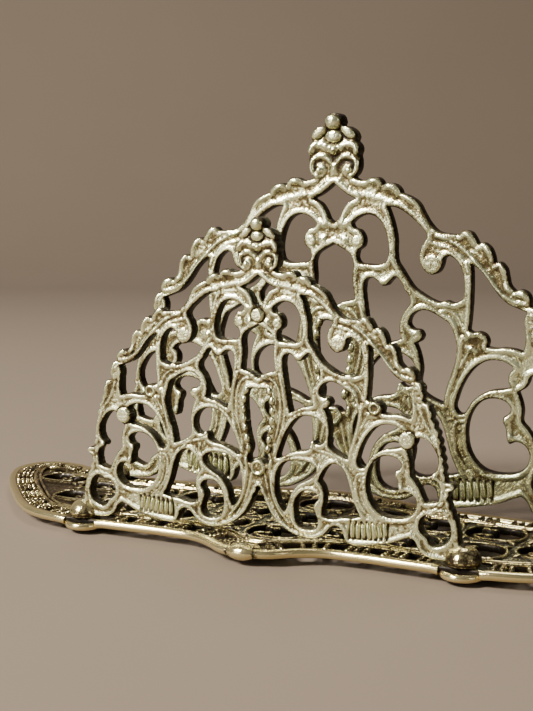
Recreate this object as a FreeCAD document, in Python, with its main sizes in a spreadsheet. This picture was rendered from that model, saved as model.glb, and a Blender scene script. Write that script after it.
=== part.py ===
import FreeCAD, Part
import os
import math
from FreeCAD import Vector

# Two-tier cast brass letter rack: an openwork base tray carrying a small
# arched panel in front and a larger one of the same pattern behind it.
# Units are millimetres.  X runs to the right, Y to the back, Z up.

os.makedirs("parts", exist_ok=True)
doc = FreeCAD.newDocument("LetterRack")

# ---------------------------------------------------------------- dimensions
sheet = doc.addObject("Spreadsheet::Sheet", "Dims")
DIMENSIONS = [
    ("front_face_y", -26.15, "front face of the front panel"),
    ("panel_gap", 48.0, "front face to front face of the two panels"),
    ("rear_scale", 1.339, "rear pattern size over front pattern size"),
    ("web_thick", 3.6, "thickness of the scrollwork"),
    ("crown_thick", 4.6, "thickness of the finial"),
    ("stud_proud", 1.1, "how far studs stand in front of the scrollwork"),
    ("foot_half", 56.0, "half the distance between the front feet"),
    ("foot_z", 5.3, "height of the foot centre over the ground"),
    ("foot_radius", 4.7, "radius of the round foot boss"),
    ("foot_rise", 4.0, "foot dome above its centre"),
    ("foot_drop", 1.3, "foot dome below its centre"),
    ("foot_chamfer", 0.9, "taper from the foot's widest place to its underside"),
    ("spigot_radius", 3.2, "collar between foot and lug"),
    ("rim_width", 2.6, "width of the rod-like rim of the tray"),
    ("rim_height", 2.6, "height of the rim"),
    ("rim_z", 2.0, "underside of the rim"),
    ("field_thick", 1.8, "thickness of the tray scrollwork"),
    ("field_z", 2.4, "underside of the tray scrollwork"),
    ("lug_radius", 5.9, "radius of the round lugs"),
    ("lug_thick", 2.2, "thickness of the lugs"),
    ("seat_edge", 0.3, "how far the flat seat stays inside the lug's edge"),
    ("seat_depth", 4.0, "how far above the lugs the seats are cleared"),
    ("head_radius", 3.2, "radius of the screw heads"),
    ("head_height", 1.2, "height of the screw heads"),
    ("shank_radius", 1.4, "radius of the screw shanks"),
    ("bore_radius", 1.45, "radius of the screw bores"),
    ("bore_depth", 5.4, "depth of the bore in a foot"),
    ("hole_clearance", 0.15, "play of the lug holes round the bores"),
    ("shank_gap", 0.4, "space left over the end of a shank in its bore"),
    ("slot_width", 0.9, "width of the driver slot"),
    ("slot_depth", 0.6, "depth of the driver slot"),
]
for row, (name, value, note) in enumerate(DIMENSIONS, start=1):
    sheet.set("A%d" % row, name)
    sheet.set("B%d" % row, str(value))
    sheet.set("C%d" % row, note)
    sheet.setAlias("B%d" % row, name)
doc.recompute()


def dim(name):
    """Value of one driving dimension."""
    return float(getattr(sheet, name))


# ------------------------------------------------------------------- pattern
# Right half of one panel in its own plane: x from the centre line, z from the
# foot centre.  Every outline is a list of runs; a run is one smooth curve and
# a corner is left where two runs meet.
PANEL_EDGE = [
    [(0, 84.2), (1.5, 83.7), (2.1, 82.4), (1.9, 81.3)],
    [(1.9, 81.3), (3.3, 81.2), (4.8, 80.2), (5.3, 78.9), (5.0, 78.2)],
    [(5.0, 78.2), (5.8, 77.3), (6.0, 76.2), (5.7, 75.3)],
    [(5.7, 75.3), (6.0, 74.3), (6.0, 72.6), (5.4, 71.2), (4.6, 70.5)],
    [(4.6, 70.5), (6.0, 69.9), (7.4, 69.9), (8.6, 70.4), (10.0, 70.5), (11.0, 69.7), (11.3, 68.9)],
    [(11.3, 68.9), (12.6, 69.3), (14.2, 68.9), (15.2, 67.9), (15.4, 67.2)],
    [(15.4, 67.2), (17.3, 66.5), (19.2, 65.2), (20.4, 63.2), (21.8, 61.0), (23.6, 59.3),
     (26.0, 58.8), (28.2, 58.7)],
    [(28.2, 58.7), (29.3, 59.5), (30.8, 59.2), (31.8, 57.9), (32.4, 56.7)],
    [(32.4, 56.7), (33.4, 57.1), (34.9, 56.1), (35.7, 54.4), (36.0, 53.0)],
    [(36.0, 53.0), (37.0, 53.2), (38.3, 52.0), (38.8, 50.2), (39.2, 48.6), (40.3, 47.3)],
    [(40.3, 47.3), (41.6, 47.7), (43.1, 46.9), (43.7, 45.3), (43.6, 44.3)],
    [(43.6, 44.3), (44.7, 43.9), (45.5, 42.7), (45.9, 41.2), (45.7, 40.0), (46.0, 39.1)],
    [(46.0, 39.1), (47.0, 38.7), (47.9, 37.3), (48.2, 35.4), (48.9, 33.6), (49.6, 32.0),
     (50.2, 29.8), (50.7, 27.4), (51.1, 25.0), (51.4, 22.6), (51.7, 20.4), (52.1, 19.9)],
    [(52.1, 19.9), (53.2, 19.8), (54.0, 18.6), (53.6, 17.4), (52.6, 16.9)],
    [(52.6, 16.9), (52.4, 15.9), (52.8, 14.4), (53.8, 12.0), (54.6, 9.6), (55.1, 7.0), (55.3, 4.5)],
    [(55.3, 4.5), (57.2, 3.6), (58.3, 1.8), (58.0, 0.4), (57.0, -0.5), (55.0, -0.6)],
    [(55.0, -0.6), (51.5, -0.2), (48.5, 0.0), (46.3, 0.7), (44.8, 2.0), (43.8, 3.9), (42.6, 4.8)],
    [(42.6, 4.8), (41.0, 4.2), (38.0, 2.9), (34.0, 1.9), (30.0, 1.1), (27.0, 0.9), (25.3, 1.5),
     (24.5, 2.9), (24.1, 4.3), (23.0, 5.2), (21.4, 5.1), (20.3, 4.2)],
    [(20.3, 4.2), (18.8, 2.5), (16.5, 1.4), (13.2, 1.2), (10.0, 1.9), (7.0, 3.5), (4.5, 5.6),
     (2.6, 8.6), (1.1, 11.5), (0, 13.4)],
]
# Openings that straddle the centre line: right half from top to bottom.
AXIS_OPENINGS = {
    "diamond": [
        [(0, 69.2), (1.6, 67.9), (3.2, 66.8), (5.0, 66.0)],
        [(5.0, 66.0), (3.2, 65.0), (2.0, 63.4), (1.2, 61.7), (0, 60.7)],
    ],
    "under_cross": [
        [(0, 56.3), (2.0, 55.3), (3.9, 54.0), (4.6, 52.2), (4.4, 49.0), (4.7, 46.4), (4.9, 44.5)],
        [(4.9, 44.5), (3.6, 44.1), (2.0, 43.7), (0.9, 43.0), (0, 42.3)],
    ],
    "arch": [
        [(0, 39.3), (1.6, 39.6), (3.0, 39.2), (3.9, 37.6), (4.0, 35.0), (3.8, 32.0), (3.5, 29.0),
         (2.9, 26.2), (2.4, 24.4), (2.5, 22.8), (3.1, 21.4), (2.9, 19.8)],
        [(2.9, 19.8), (2.0, 19.7), (1.3, 20.4), (0, 20.8)],
    ],
}
# Openings of one half, mirrored to the other.
SIDE_OPENINGS = {
    "pear": [
        [(4.1, 60.7), (5.3, 61.8), (7.4, 62.6), (9.4, 62.3), (11.0, 61.0), (12.0, 58.9), (12.6, 56.4),
         (12.6, 54.2), (12.0, 52.6), (10.4, 52.0), (8.0, 52.1), (6.1, 52.3), (5.4, 53.4), (5.6, 54.9)],
        [(5.6, 54.9), (6.9, 56.0), (7.0, 57.8), (6.0, 59.3), (4.6, 59.8), (4.1, 60.7)],
    ],
    "tall": [
        [(9.3, 33.8), (8.8, 35.4), (8.2, 38.8), (7.5, 43.0), (7.1, 46.6), (7.5, 48.6), (8.9, 49.2),
         (10.1, 48.6), (11.2, 47.6), (12.3, 47.6), (13.2, 48.6), (14.3, 49.5), (15.3, 48.8),
         (16.5, 46.8), (17.6, 45.2), (17.6, 43.9), (16.5, 42.4), (15.5, 40.3), (15.3, 38.2), (15.7, 36.4)],
        [(15.7, 36.4), (14.6, 35.9), (12.6, 35.5), (10.6, 34.6), (9.3, 33.8)],
    ],
    "hook": [
        [(18.9, 35.5), (20.2, 36.2), (20.6, 37.4), (19.9, 38.4), (18.3, 38.7), (17.5, 39.7),
         (17.9, 41.2), (19.2, 42.3), (21.0, 42.7), (23.0, 42.1), (25.0, 41.0), (26.5, 40.0),
         (27.5, 37.8), (28.1, 35.2), (27.9, 32.6), (27.1, 29.8), (26.1, 26.8), (25.6, 24.6), (25.4, 23.1)],
        [(25.4, 23.1), (24.2, 23.5), (22.0, 24.5), (20.3, 25.9), (20.1, 27.6), (20.4, 30.0),
         (20.1, 32.2), (19.5, 34.2), (18.9, 35.5)],
    ],
    "ring_arc": [
        [(5.6, 21.7), (6.2, 24.4), (7.4, 27.4), (9.2, 30.5), (11.4, 32.6), (14.0, 33.4), (16.6, 33.0),
         (18.5, 31.5), (19.3, 29.3), (19.0, 27.3), (17.9, 26.3), (16.5, 26.3), (15.7, 27.0),
         (15.0, 26.3), (14.7, 24.9), (13.4, 24.2), (10.8, 23.8), (8.2, 22.8), (5.6, 21.7)],
    ],
    "lens": [
        [(7.6, 7.6), (6.2, 9.2), (5.2, 11.4), (4.9, 14.2), (5.2, 17.4), (6.2, 19.5), (8.0, 20.8),
         (10.4, 21.4), (13.0, 21.5), (15.4, 21.0), (16.6, 19.7), (16.2, 18.2), (15.0, 17.1),
         (13.4, 16.2), (11.5, 15.1), (9.9, 13.2), (8.9, 11.0), (8.4, 9.0), (7.6, 7.6)],
    ],
    "inner_gap": [
        [(17.3, 16.6), (18.4, 15.2), (19.0, 13.0), (18.8, 11.0), (18.4, 9.2), (18.6, 7.8), (19.8, 7.2),
         (21.6, 7.1), (24.0, 7.7), (26.8, 7.9), (29.0, 8.5)],
        [(29.0, 8.5), (28.1, 10.2), (27.1, 12.5), (26.3, 15.2), (25.5, 17.8), (24.4, 20.0),
         (22.9, 21.3), (21.2, 21.5), (19.6, 20.5), (18.3, 18.8), (17.3, 16.6)],
    ],
    "small_loop": [
        [(17.3, 12.0), (16.6, 11.0), (16.0, 9.7), (16.5, 8.2), (17.0, 6.8), (17.2, 5.3), (16.4, 4.0),
         (14.6, 3.5), (12.6, 3.8), (11.1, 5.0), (10.5, 6.7), (10.4, 8.6), (10.7, 10.6), (11.7, 12.5),
         (13.3, 13.6), (15.2, 13.8), (16.8, 13.1), (17.3, 12.0)],
    ],
    "big_ring": [
        [(39.8, 15.7), (41.2, 16.2), (42.8, 15.8), (43.9, 14.5), (44.1, 12.8), (43.3, 11.0),
         (41.6, 9.8), (39.2, 9.3), (36.6, 9.3), (34.2, 10.0), (32.2, 11.8), (31.0, 14.2), (30.6, 17.0),
         (30.8, 19.4), (31.6, 21.8), (33.2, 23.8), (35.2, 24.8), (37.4, 24.9), (39.2, 24.2),
         (40.0, 22.9), (39.4, 21.8), (38.5, 21.2), (38.4, 20.2), (39.0, 18.9), (39.2, 17.2), (39.8, 15.7)],
    ],
    "crescent": [
        [(39.9, 27.4), (38.2, 27.0), (35.8, 26.6), (33.6, 25.6), (31.8, 24.1), (30.7, 22.4),
         (30.1, 21.5), (29.0, 21.2), (28.0, 22.4), (28.5, 24.9), (29.6, 27.7), (31.2, 30.2),
         (33.2, 32.0), (35.6, 32.9), (38.0, 32.8), (39.8, 32.0), (40.4, 31.4)],
        [(40.4, 31.4), (39.5, 30.3), (39.3, 28.8), (39.9, 27.4)],
    ],
    "drop": [
        [(41.4, 26.6), (42.8, 27.5), (43.6, 28.8), (43.9, 29.8), (45.0, 30.3), (46.8, 29.7),
         (48.3, 28.1), (49.4, 26.0), (49.6, 24.0), (49.0, 22.3), (48.0, 21.1), (48.3, 20.2),
         (49.6, 19.5), (50.2, 18.2), (50.2, 16.2), (49.8, 14.7)],
        [(49.8, 14.7), (48.2, 14.2), (46.4, 14.1)],
        [(46.4, 14.1), (45.8, 15.2), (44.9, 17.2), (43.6, 19.1), (42.4, 20.5), (42.5, 22.6),
         (42.2, 24.4), (41.4, 26.6)],
    ],
    "corner": [
        [(47.6, 3.9), (46.8, 5.2), (45.5, 6.1), (44.9, 7.1), (44.9, 8.4), (45.4, 9.9), (46.8, 10.9),
         (48.2, 10.9), (49.4, 11.7), (50.8, 11.7), (52.1, 10.6), (53.0, 8.6), (53.1, 6.4), (52.2, 4.6),
         (50.6, 3.5), (48.8, 3.1), (47.6, 3.9)],
    ],
    "shoulder": [
        [(31.0, 52.6), (31.2, 50.0), (31.2, 46.0), (31.0, 42.0), (30.7, 38.9)],
        [(30.7, 38.9), (31.6, 38.5), (32.8, 38.7), (34.2, 38.1), (34.9, 36.8), (34.7, 35.6)],
        [(34.7, 35.6), (36.4, 35.4), (38.6, 35.6), (40.6, 35.4), (42.3, 34.9)],
        [(42.3, 34.9), (42.7, 36.6), (42.6, 39.6), (42.4, 41.6), (42.9, 43.1)],
        [(42.9, 43.1), (41.0, 43.8), (39.0, 44.6), (37.2, 46.0), (35.7, 47.9), (34.3, 49.9),
         (32.8, 51.5), (31.0, 52.6)],
    ],
    "scroll_ball": [
        [(12.2, 64.4), (14.4, 64.1), (16.8, 62.8), (19.0, 61.0), (20.8, 59.2), (21.2, 58.0),
         (20.2, 56.3), (19.6, 54.4), (19.9, 52.4), (20.9, 50.9), (22.4, 50.2), (23.9, 50.8),
         (24.7, 52.2), (25.1, 53.7), (26.2, 54.2), (27.6, 53.4), (28.8, 51.8), (29.4, 49.6),
         (29.6, 47.2), (29.3, 45.4), (28.2, 44.7), (27.2, 44.4), (25.6, 44.9), (24.2, 44.4)],
        [(24.2, 44.4), (22.4, 45.0), (20.2, 46.2), (18.4, 47.4), (17.0, 49.2), (15.8, 51.0),
         (14.6, 52.8), (14.3, 55.0), (14.3, 57.4), (13.7, 60.4), (12.9, 62.8), (12.2, 64.4)],
    ],
}
# Round studs and ball ends standing in front of the scrollwork: x, z, radius.
CENTRE_STUD = (0.0, 58.8, 1.7)
BALL_ENDS = [(22.3, 53.0, 2.3), (4.9, 57.6, 1.9)]
FRONT_STUDS = [(41.5, 29.4, 2.1), (32.8, 36.8, 1.7)]
RING_BOSS = (0.0, 18.6, 1.9)

# Right half of the tray outline: x, and y measured back from the front
# panel's front face; the tray is mirrored about x = 0.
TRAY_EDGE = [
    (0, -10.0), (7, -8.8), (13, -4.6), (19, -1.6), (30, -0.8), (44, -1.2), (56, -1.4), (66, -0.8),
    (76, 2.2), (85, 8.8), (94, 18.0), (103, 28.0), (110.5, 38.5), (114.5, 48.5), (112.2, 57.2),
    (104.5, 61.0), (95, 59.6), (86, 55.4), (75, 52.6), (62, 53.0), (48, 54.2), (34, 55.0), (23, 57.4),
    (12, 61.4), (0, 62.5),
]


def spline(points):
    """Smooth curve through points that are already 3D vectors."""
    curve = Part.BSplineCurve()
    curve.interpolate(points)
    return curve


def mirrored(points):
    """The same points on the other side of the centre line, in reverse."""
    return [(-x, y) for x, y in reversed(points)]


def add_runs(sketch, runs, scale):
    """Add one chain of smooth runs to a sketch."""
    for run in runs:
        sketch.addGeometry(spline([Vector(x * scale, y * scale, 0) for x, y in run]), False)


def add_mirrored(sketch, runs, scale):
    """Add runs and their mirror image: both halves of one outline, or a pair of outlines."""
    add_runs(sketch, runs, scale)
    add_runs(sketch, [mirrored(run) for run in reversed(runs)], scale)


def add_circle(sketch, x, y, radius):
    """Add a full circle to a sketch."""
    circle = Part.Circle(Vector(x, y, 0), Vector(0, 0, 1), radius)
    sketch.addGeometry(circle, False)


def new_body(name, label):
    """A PartDesign body with its own label."""
    body = doc.addObject("PartDesign::Body", name)
    body.Label = label
    return body


def new_sketch(body, name, plane, offset=None):
    """A sketch on one of the body's own origin planes (XY_Plane, XZ_Plane or YZ_Plane)."""
    sketch = body.newObject("Sketcher::SketchObject", name)
    datum = [f for f in body.Origin.OriginFeatures if f.Role == plane][0]
    sketch.AttachmentSupport = [(datum, "")]
    sketch.MapMode = "FlatFace"
    if offset is not None:
        sketch.AttachmentOffset = FreeCAD.Placement(Vector(0, 0, offset), FreeCAD.Rotation())
    return sketch


def origin_plane(body, plane):
    """One origin plane of a body."""
    return [f for f in body.Origin.OriginFeatures if f.Role == plane][0]


# -------------------------------------------------------------------- panels
SHOULDER_ANGLE = math.radians(50)      # where the foot's dome is gauged between top and side


def make_panel(name, label, scale_name, studs):
    """One arched openwork panel with its finial, studs and two round feet."""
    scale = dim(scale_name) if scale_name else 1.0
    foot = dim("foot_half") * scale
    body = new_body(name, label)

    outline = new_sketch(body, name + "Outline", "XZ_Plane")
    add_mirrored(outline, PANEL_EDGE, scale)
    for runs in AXIS_OPENINGS.values():
        add_mirrored(outline, runs, scale)
    for runs in SIDE_OPENINGS.values():
        add_mirrored(outline, runs, scale)
    web = body.newObject("PartDesign::Pad", name + "Web")
    web.Profile = outline
    web.Midplane = True
    web.setExpression("Length", "Dims.web_thick")
    outline.Visibility = False

    crown = new_sketch(body, name + "Crown", "XZ_Plane")
    finial = PANEL_EDGE[:4]
    add_mirrored(crown, finial, scale)
    left_end = Vector(-finial[-1][-1][0] * scale, finial[-1][-1][1] * scale, 0)
    right_end = Vector(finial[-1][-1][0] * scale, finial[-1][-1][1] * scale, 0)
    crown.addGeometry(Part.LineSegment(left_end, right_end), False)
    crown_pad = body.newObject("PartDesign::Pad", name + "CrownPad")
    crown_pad.Profile = crown
    crown_pad.Midplane = True
    crown_pad.setExpression("Length", "Dims.crown_thick")
    crown.Visibility = False

    stud_sketch = new_sketch(body, name + "Studs", "XZ_Plane")
    for x, z, radius in studs:
        add_circle(stud_sketch, x * scale, z * scale, radius * scale)
        if x > 0:
            add_circle(stud_sketch, -x * scale, z * scale, radius * scale)
    stud_pad = body.newObject("PartDesign::Pad", name + "StudPad")
    stud_pad.Profile = stud_sketch
    stud_pad.setExpression("Length", "Dims.web_thick / 2 + Dims.stud_proud")
    stud_sketch.Visibility = False

    radius = dim("foot_radius")
    rise = dim("foot_rise")
    drop = dim("foot_drop")
    collar = dim("spigot_radius")
    collar_z = dim("head_height") + dim("lug_thick") - dim("foot_z")
    foot_sketch = new_sketch(body, name + "FootProfile", "XZ_Plane")
    corners = [
        Vector(foot, rise, 0), Vector(foot + radius, 0, 0),
        Vector(foot + radius - dim("foot_chamfer"), -drop, 0),
        Vector(foot + collar, -drop, 0), Vector(foot + collar, collar_z, 0), Vector(foot, collar_z, 0),
    ]
    shoulder = Vector(foot + radius * math.sin(SHOULDER_ANGLE), rise * math.cos(SHOULDER_ANGLE), 0)
    foot_sketch.addGeometry(Part.Arc(corners[0], shoulder, corners[1]), False)
    for start, end in zip(corners[1:], corners[2:] + corners[:1]):
        foot_sketch.addGeometry(Part.LineSegment(start, end), False)
    axis = foot_sketch.addGeometry(Part.LineSegment(corners[0], corners[-1]), True)
    dome = body.newObject("PartDesign::Revolution", name + "Foot")
    dome.Profile = foot_sketch
    dome.ReferenceAxis = (foot_sketch, ["Axis0"])
    dome.Angle = 360
    foot_sketch.Visibility = False
    doc.recompute()

    mirror = body.newObject("PartDesign::Mirrored", name + "FootPair")
    mirror.Originals = [dome]
    mirror.MirrorPlane = (origin_plane(body, "YZ_Plane"), [""])
    body.Tip = mirror

    bore_sketch = new_sketch(body, name + "BoreSketch", "XY_Plane", collar_z)
    for side in (-1, 1):
        add_circle(bore_sketch, side * foot, 0, dim("bore_radius"))
    bore = body.newObject("PartDesign::Pocket", name + "Bores")
    bore.Profile = bore_sketch
    bore.Reversed = True
    bore.setExpression("Length", "Dims.bore_depth")
    bore_sketch.Visibility = False
    body.Tip = bore
    body.setExpression("Placement.Base.z", "Dims.foot_z")
    return body


front_studs = [CENTRE_STUD, RING_BOSS] + BALL_ENDS + FRONT_STUDS
rear_studs = [RING_BOSS] + BALL_ENDS
front_panel = make_panel("front_panel", "front_panel", None, front_studs)
front_panel.setExpression("Placement.Base.y", "Dims.front_face_y + Dims.crown_thick / 2")
rear_panel = make_panel("rear_panel", "rear_panel", "rear_scale", rear_studs)
rear_panel.setExpression(
    "Placement.Base.y", "Dims.front_face_y + Dims.panel_gap + Dims.crown_thick / 2")


# ---------------------------------------------------------------------- tray
RING_POINTS = 120         # points that a parallel of the outline is drawn through
SPAN_SAMPLES = 1200       # samples of the outline when its front and back are looked up


class TrayEdge:
    """The closed outline of the tray, walked by distance from its front centre."""

    def __init__(self, points, y_shift):
        loop = points + mirrored(points)[1:-1]
        self.curve = Part.BSplineCurve()
        self.curve.interpolate([Vector(x, y + y_shift, 0) for x, y in loop], True)
        self.length = self.curve.length()

    def at(self, distance, inset):
        """Point at a distance along the outline, moved inwards by inset."""
        parameter = self.curve.parameterAtDistance(distance % self.length, self.curve.FirstParameter)
        point = self.curve.value(parameter)
        tangent = self.curve.tangent(parameter)[0]
        return point + Vector(-tangent.y, tangent.x, 0) * inset

    def ring(self, inset, count):
        """Closed smooth curve parallel to the outline."""
        curve = Part.BSplineCurve()
        step = self.length / count
        curve.interpolate([self.at(step * i, inset) for i in range(count)], True)
        return curve

    def span(self, x):
        """Front and back y of the outline at one x."""
        step = self.length / SPAN_SAMPLES
        samples = [self.at(step * i, 0) for i in range(SPAN_SAMPLES)]
        near = [p.y for p in samples if abs(p.x - x) < step]
        return min(near), max(near)


feet = []
for scale, row_y in ((1.0, 0.0), (dim("rear_scale"), dim("panel_gap"))):
    for side in (-1, 1):
        y = dim("front_face_y") + row_y + dim("crown_thick") / 2
        feet.append((side * dim("foot_half") * scale, y))

tray_edge = TrayEdge(TRAY_EDGE, dim("front_face_y"))
BAND_INSET = 8.2          # outer side of the inner band
BAND_WIDTH = 2.2
LINK_WIDTH = 1.9
LINK_PITCH = 10.0
FIELD_TUCK = 0.8          # how far inside the outline the pierced plate starts, under the rim
GALLERY_STEP = 0.2        # plate left showing inside the rim before an opening starts
SHORTEST_CELL = 4.5       # a gallery opening with a shorter inner side is left out
LUG_MARGIN = 0.8          # plate left round a lug

base = new_body("base_plate", "base_plate")
rim_sketch = new_sketch(base, "RimSketch", "XY_Plane", dim("rim_z"))
rim_sketch.addGeometry(tray_edge.curve, False)
rim_sketch.addGeometry(tray_edge.ring(dim("rim_width"), RING_POINTS), False)
rim = base.newObject("PartDesign::Pad", "Rim")
rim.Profile = rim_sketch
rim.setExpression("Length", "Dims.rim_height")
rim_sketch.Visibility = False


def clear_of_feet(points, margin):
    """True when none of the points is within the margin of a lug."""
    reach = dim("lug_radius") + margin
    return all(math.hypot(p.x - x, p.y - y) > reach for p in points for x, y in feet)


def add_gallery_cell(sketch, start, end):
    """One opening between the rim and the inner band, bounded by two links."""
    outer = [tray_edge.at(s, dim("rim_width") + GALLERY_STEP) for s in (start, (start + end) / 2, end)]
    inner = [tray_edge.at(s, BAND_INSET) for s in (start, (start + end) / 2, end)]
    too_short = inner[0].distanceToPoint(inner[2]) < SHORTEST_CELL
    if too_short or not clear_of_feet(outer + inner, LUG_MARGIN):
        return
    sketch.addGeometry(Part.Arc(*outer), False)
    sketch.addGeometry(Part.LineSegment(outer[2], inner[2]), False)
    sketch.addGeometry(Part.Arc(*reversed(inner)), False)
    sketch.addGeometry(Part.LineSegment(inner[0], outer[0]), False)


field_sketch = new_sketch(base, "FieldSketch", "XY_Plane", dim("field_z"))
field_sketch.addGeometry(tray_edge.ring(FIELD_TUCK, RING_POINTS), False)
cells = int(round(tray_edge.length / LINK_PITCH / 2)) * 2
pitch = tray_edge.length / cells
for i in range(cells):
    add_gallery_cell(field_sketch, pitch * i + LINK_WIDTH / 2, pitch * (i + 1) - LINK_WIDTH / 2)

# Ovals of the field: columns across the tray, as many rows as there is room for.
COLUMN_PITCH = 18.0
ROW_PITCH = 15.0
OUTER_COLUMN = 5          # number of the last column on either side
SHOULDER_SHARE = 0.6      # share of a column's pitch outwards where its depth is checked
FIELD_INSET = BAND_INSET + BAND_WIDTH
BAR = 2.4


def add_oval(sketch, x, y, across, along):
    """Full ellipse with half sizes across (x) and along (y)."""
    if across >= along:
        ellipse = Part.Ellipse(Vector(x, y, 0), across, along)
    else:
        ellipse = Part.Ellipse(Vector(x, y + along, 0), Vector(x + across, y, 0), Vector(x, y, 0))
    sketch.addGeometry(ellipse, False)


for column in range(-OUTER_COLUMN, OUTER_COLUMN + 1):
    x = column * COLUMN_PITCH
    low, high = tray_edge.span(x)
    low_side = tray_edge.span(abs(x) + COLUMN_PITCH * SHOULDER_SHARE)[0]
    low = max(low, low_side) + FIELD_INSET
    high = high - FIELD_INSET
    half_width = (COLUMN_PITCH - BAR) / 2
    rows = max(1, int(round((high - low) / ROW_PITCH)))
    half_depth = (high - low - BAR * (rows - 1)) / rows / 2
    for row in range(rows):
        y = low + half_depth + row * (2 * half_depth + BAR)
        if clear_of_feet([Vector(x, y, 0)], max(half_width, half_depth)):
            add_oval(field_sketch, x, y, half_width, half_depth)
field = base.newObject("PartDesign::Pad", "Field")
field.Profile = field_sketch
field.setExpression("Length", "Dims.field_thick")
field_sketch.Visibility = False

lug_sketch = new_sketch(base, "LugSketch", "XY_Plane", dim("head_height"))
for x, y in feet:
    add_circle(lug_sketch, x, y, dim("lug_radius"))
lugs = base.newObject("PartDesign::Pad", "Lugs")
lugs.Profile = lug_sketch
lugs.setExpression("Length", "Dims.lug_thick")
lug_sketch.Visibility = False

seat_sketch = new_sketch(base, "SeatSketch", "XY_Plane", dim("head_height") + dim("lug_thick"))
for x, y in feet:
    add_circle(seat_sketch, x, y, dim("lug_radius") - dim("seat_edge"))
seats = base.newObject("PartDesign::Pocket", "Seats")
seats.Profile = seat_sketch
seats.Reversed = True
seats.setExpression("Length", "Dims.seat_depth")
seat_sketch.Visibility = False

hole_sketch = new_sketch(base, "LugHoleSketch", "XY_Plane", dim("head_height"))
for x, y in feet:
    add_circle(hole_sketch, x, y, dim("bore_radius") + dim("hole_clearance"))
holes = base.newObject("PartDesign::Pocket", "LugHoles")
holes.Profile = hole_sketch
holes.Reversed = True
holes.setExpression("Length", "Dims.lug_thick")
hole_sketch.Visibility = False
base.Tip = holes
doc.recompute()


# -------------------------------------------------------------------- screws
def make_screw(name, x, y):
    """Slotted screw that holds a panel foot on its lug from beneath."""
    head = doc.addObject("Part::Cylinder", name + "_head")
    head.setExpression("Radius", "Dims.head_radius")
    head.setExpression("Height", "Dims.head_height")
    shank = doc.addObject("Part::Cylinder", name + "_shank")
    shank.setExpression("Radius", "Dims.shank_radius")
    shank.setExpression("Height", "Dims.head_height + Dims.lug_thick + Dims.bore_depth - Dims.shank_gap")
    slot = doc.addObject("Part::Box", name + "_slot")
    slot.setExpression("Length", "Dims.head_radius * 2 + Dims.slot_width")
    slot.setExpression("Width", "Dims.slot_width")
    slot.setExpression("Height", "Dims.slot_depth")
    slot.setExpression("Placement.Base.x", "-Dims.head_radius - Dims.slot_width / 2")
    slot.setExpression("Placement.Base.y", "-Dims.slot_width / 2")
    blank = doc.addObject("Part::Fuse", name + "_blank")
    blank.Base = head
    blank.Tool = shank
    screw = doc.addObject("Part::Cut", name)
    screw.Base = blank
    screw.Tool = slot
    screw.Label = name
    screw.Placement = FreeCAD.Placement(Vector(x, y, 0), FreeCAD.Rotation())
    return screw


screw_names = ["front_left_screw", "front_right_screw", "rear_left_screw", "rear_right_screw"]
screws = [make_screw(name, x, y) for name, (x, y) in zip(screw_names, feet)]
doc.recompute()

# -------------------------------------------------------------------- export
nodes = [base, front_panel, rear_panel] + screws
for obj in doc.Objects:
    bad = [flag for flag in obj.State if flag in ("Invalid", "Error")]
    assert not bad, "%s is %s" % (obj.Name, bad)
for node in nodes:
    shape = node.Shape
    assert not shape.isNull(), node.Label + " is empty"
    assert shape.isValid(), node.Label + " is not valid"
    assert len(shape.Solids) == 1, "%s has %d solids" % (node.Label, len(shape.Solids))
    box = shape.BoundBox
    print("%-18s volume %9.1f  x %.2f..%.2f  y %.2f..%.2f  z %.2f..%.2f" % (
        node.Label, shape.Volume, box.XMin, box.XMax, box.YMin, box.YMax, box.ZMin, box.ZMax))
    shape.exportStep("parts/%s.step" % node.Label)
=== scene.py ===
"""Looks of a cast brass filigree letter rack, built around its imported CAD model.

Two arched openwork panels of one scroll pattern stand on a pierced tray.  The
panels and the tray field are relief castings: a signed distance to the edge of
the openwork gives every strut its rounded, raised borders and sunken middle.
Beads, ribs, rods, lugs and feet are made by Geometry Nodes.  All sizes in the
pattern are millimetres; finished meshes are metres in the CAD's own frame.
"""
import logging
import math
from dataclasses import dataclass
from enum import Enum

import bmesh
import bpy
import numpy as np
from mathutils import Matrix, Vector

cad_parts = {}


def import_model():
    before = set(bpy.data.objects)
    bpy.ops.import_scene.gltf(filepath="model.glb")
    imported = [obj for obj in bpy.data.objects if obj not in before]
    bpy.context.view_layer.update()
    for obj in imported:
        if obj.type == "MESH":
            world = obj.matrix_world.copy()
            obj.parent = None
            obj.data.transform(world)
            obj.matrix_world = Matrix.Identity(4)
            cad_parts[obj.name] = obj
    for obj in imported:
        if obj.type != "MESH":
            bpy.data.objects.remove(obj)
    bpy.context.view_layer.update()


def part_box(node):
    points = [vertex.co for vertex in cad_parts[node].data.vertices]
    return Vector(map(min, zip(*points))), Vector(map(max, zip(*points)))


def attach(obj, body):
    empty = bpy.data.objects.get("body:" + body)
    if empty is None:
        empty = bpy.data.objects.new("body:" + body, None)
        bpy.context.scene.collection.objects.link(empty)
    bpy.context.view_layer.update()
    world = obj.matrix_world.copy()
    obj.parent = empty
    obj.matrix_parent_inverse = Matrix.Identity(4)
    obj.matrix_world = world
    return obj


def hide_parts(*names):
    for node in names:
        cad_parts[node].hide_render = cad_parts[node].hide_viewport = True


log = logging.getLogger("letter_rack")

MM = 0.001
# Quarter turn that ends the round profiles just past their poles.
QUARTER = 1.5708
# Radius that stands for nothing at the poles of turned shapes, and the distance
# within which doubled points are merged, both in millimetres.
POLE = 1e-4
MERGE = 0.002
Point = tuple[float, float]
Triple = tuple[float, float, float]
Run = list[Point]
Outline = list[Run]
# Centre x and z, half sizes along and across, turn in degrees, height.
Bump = tuple[float, float, float, float, float, float]

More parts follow.
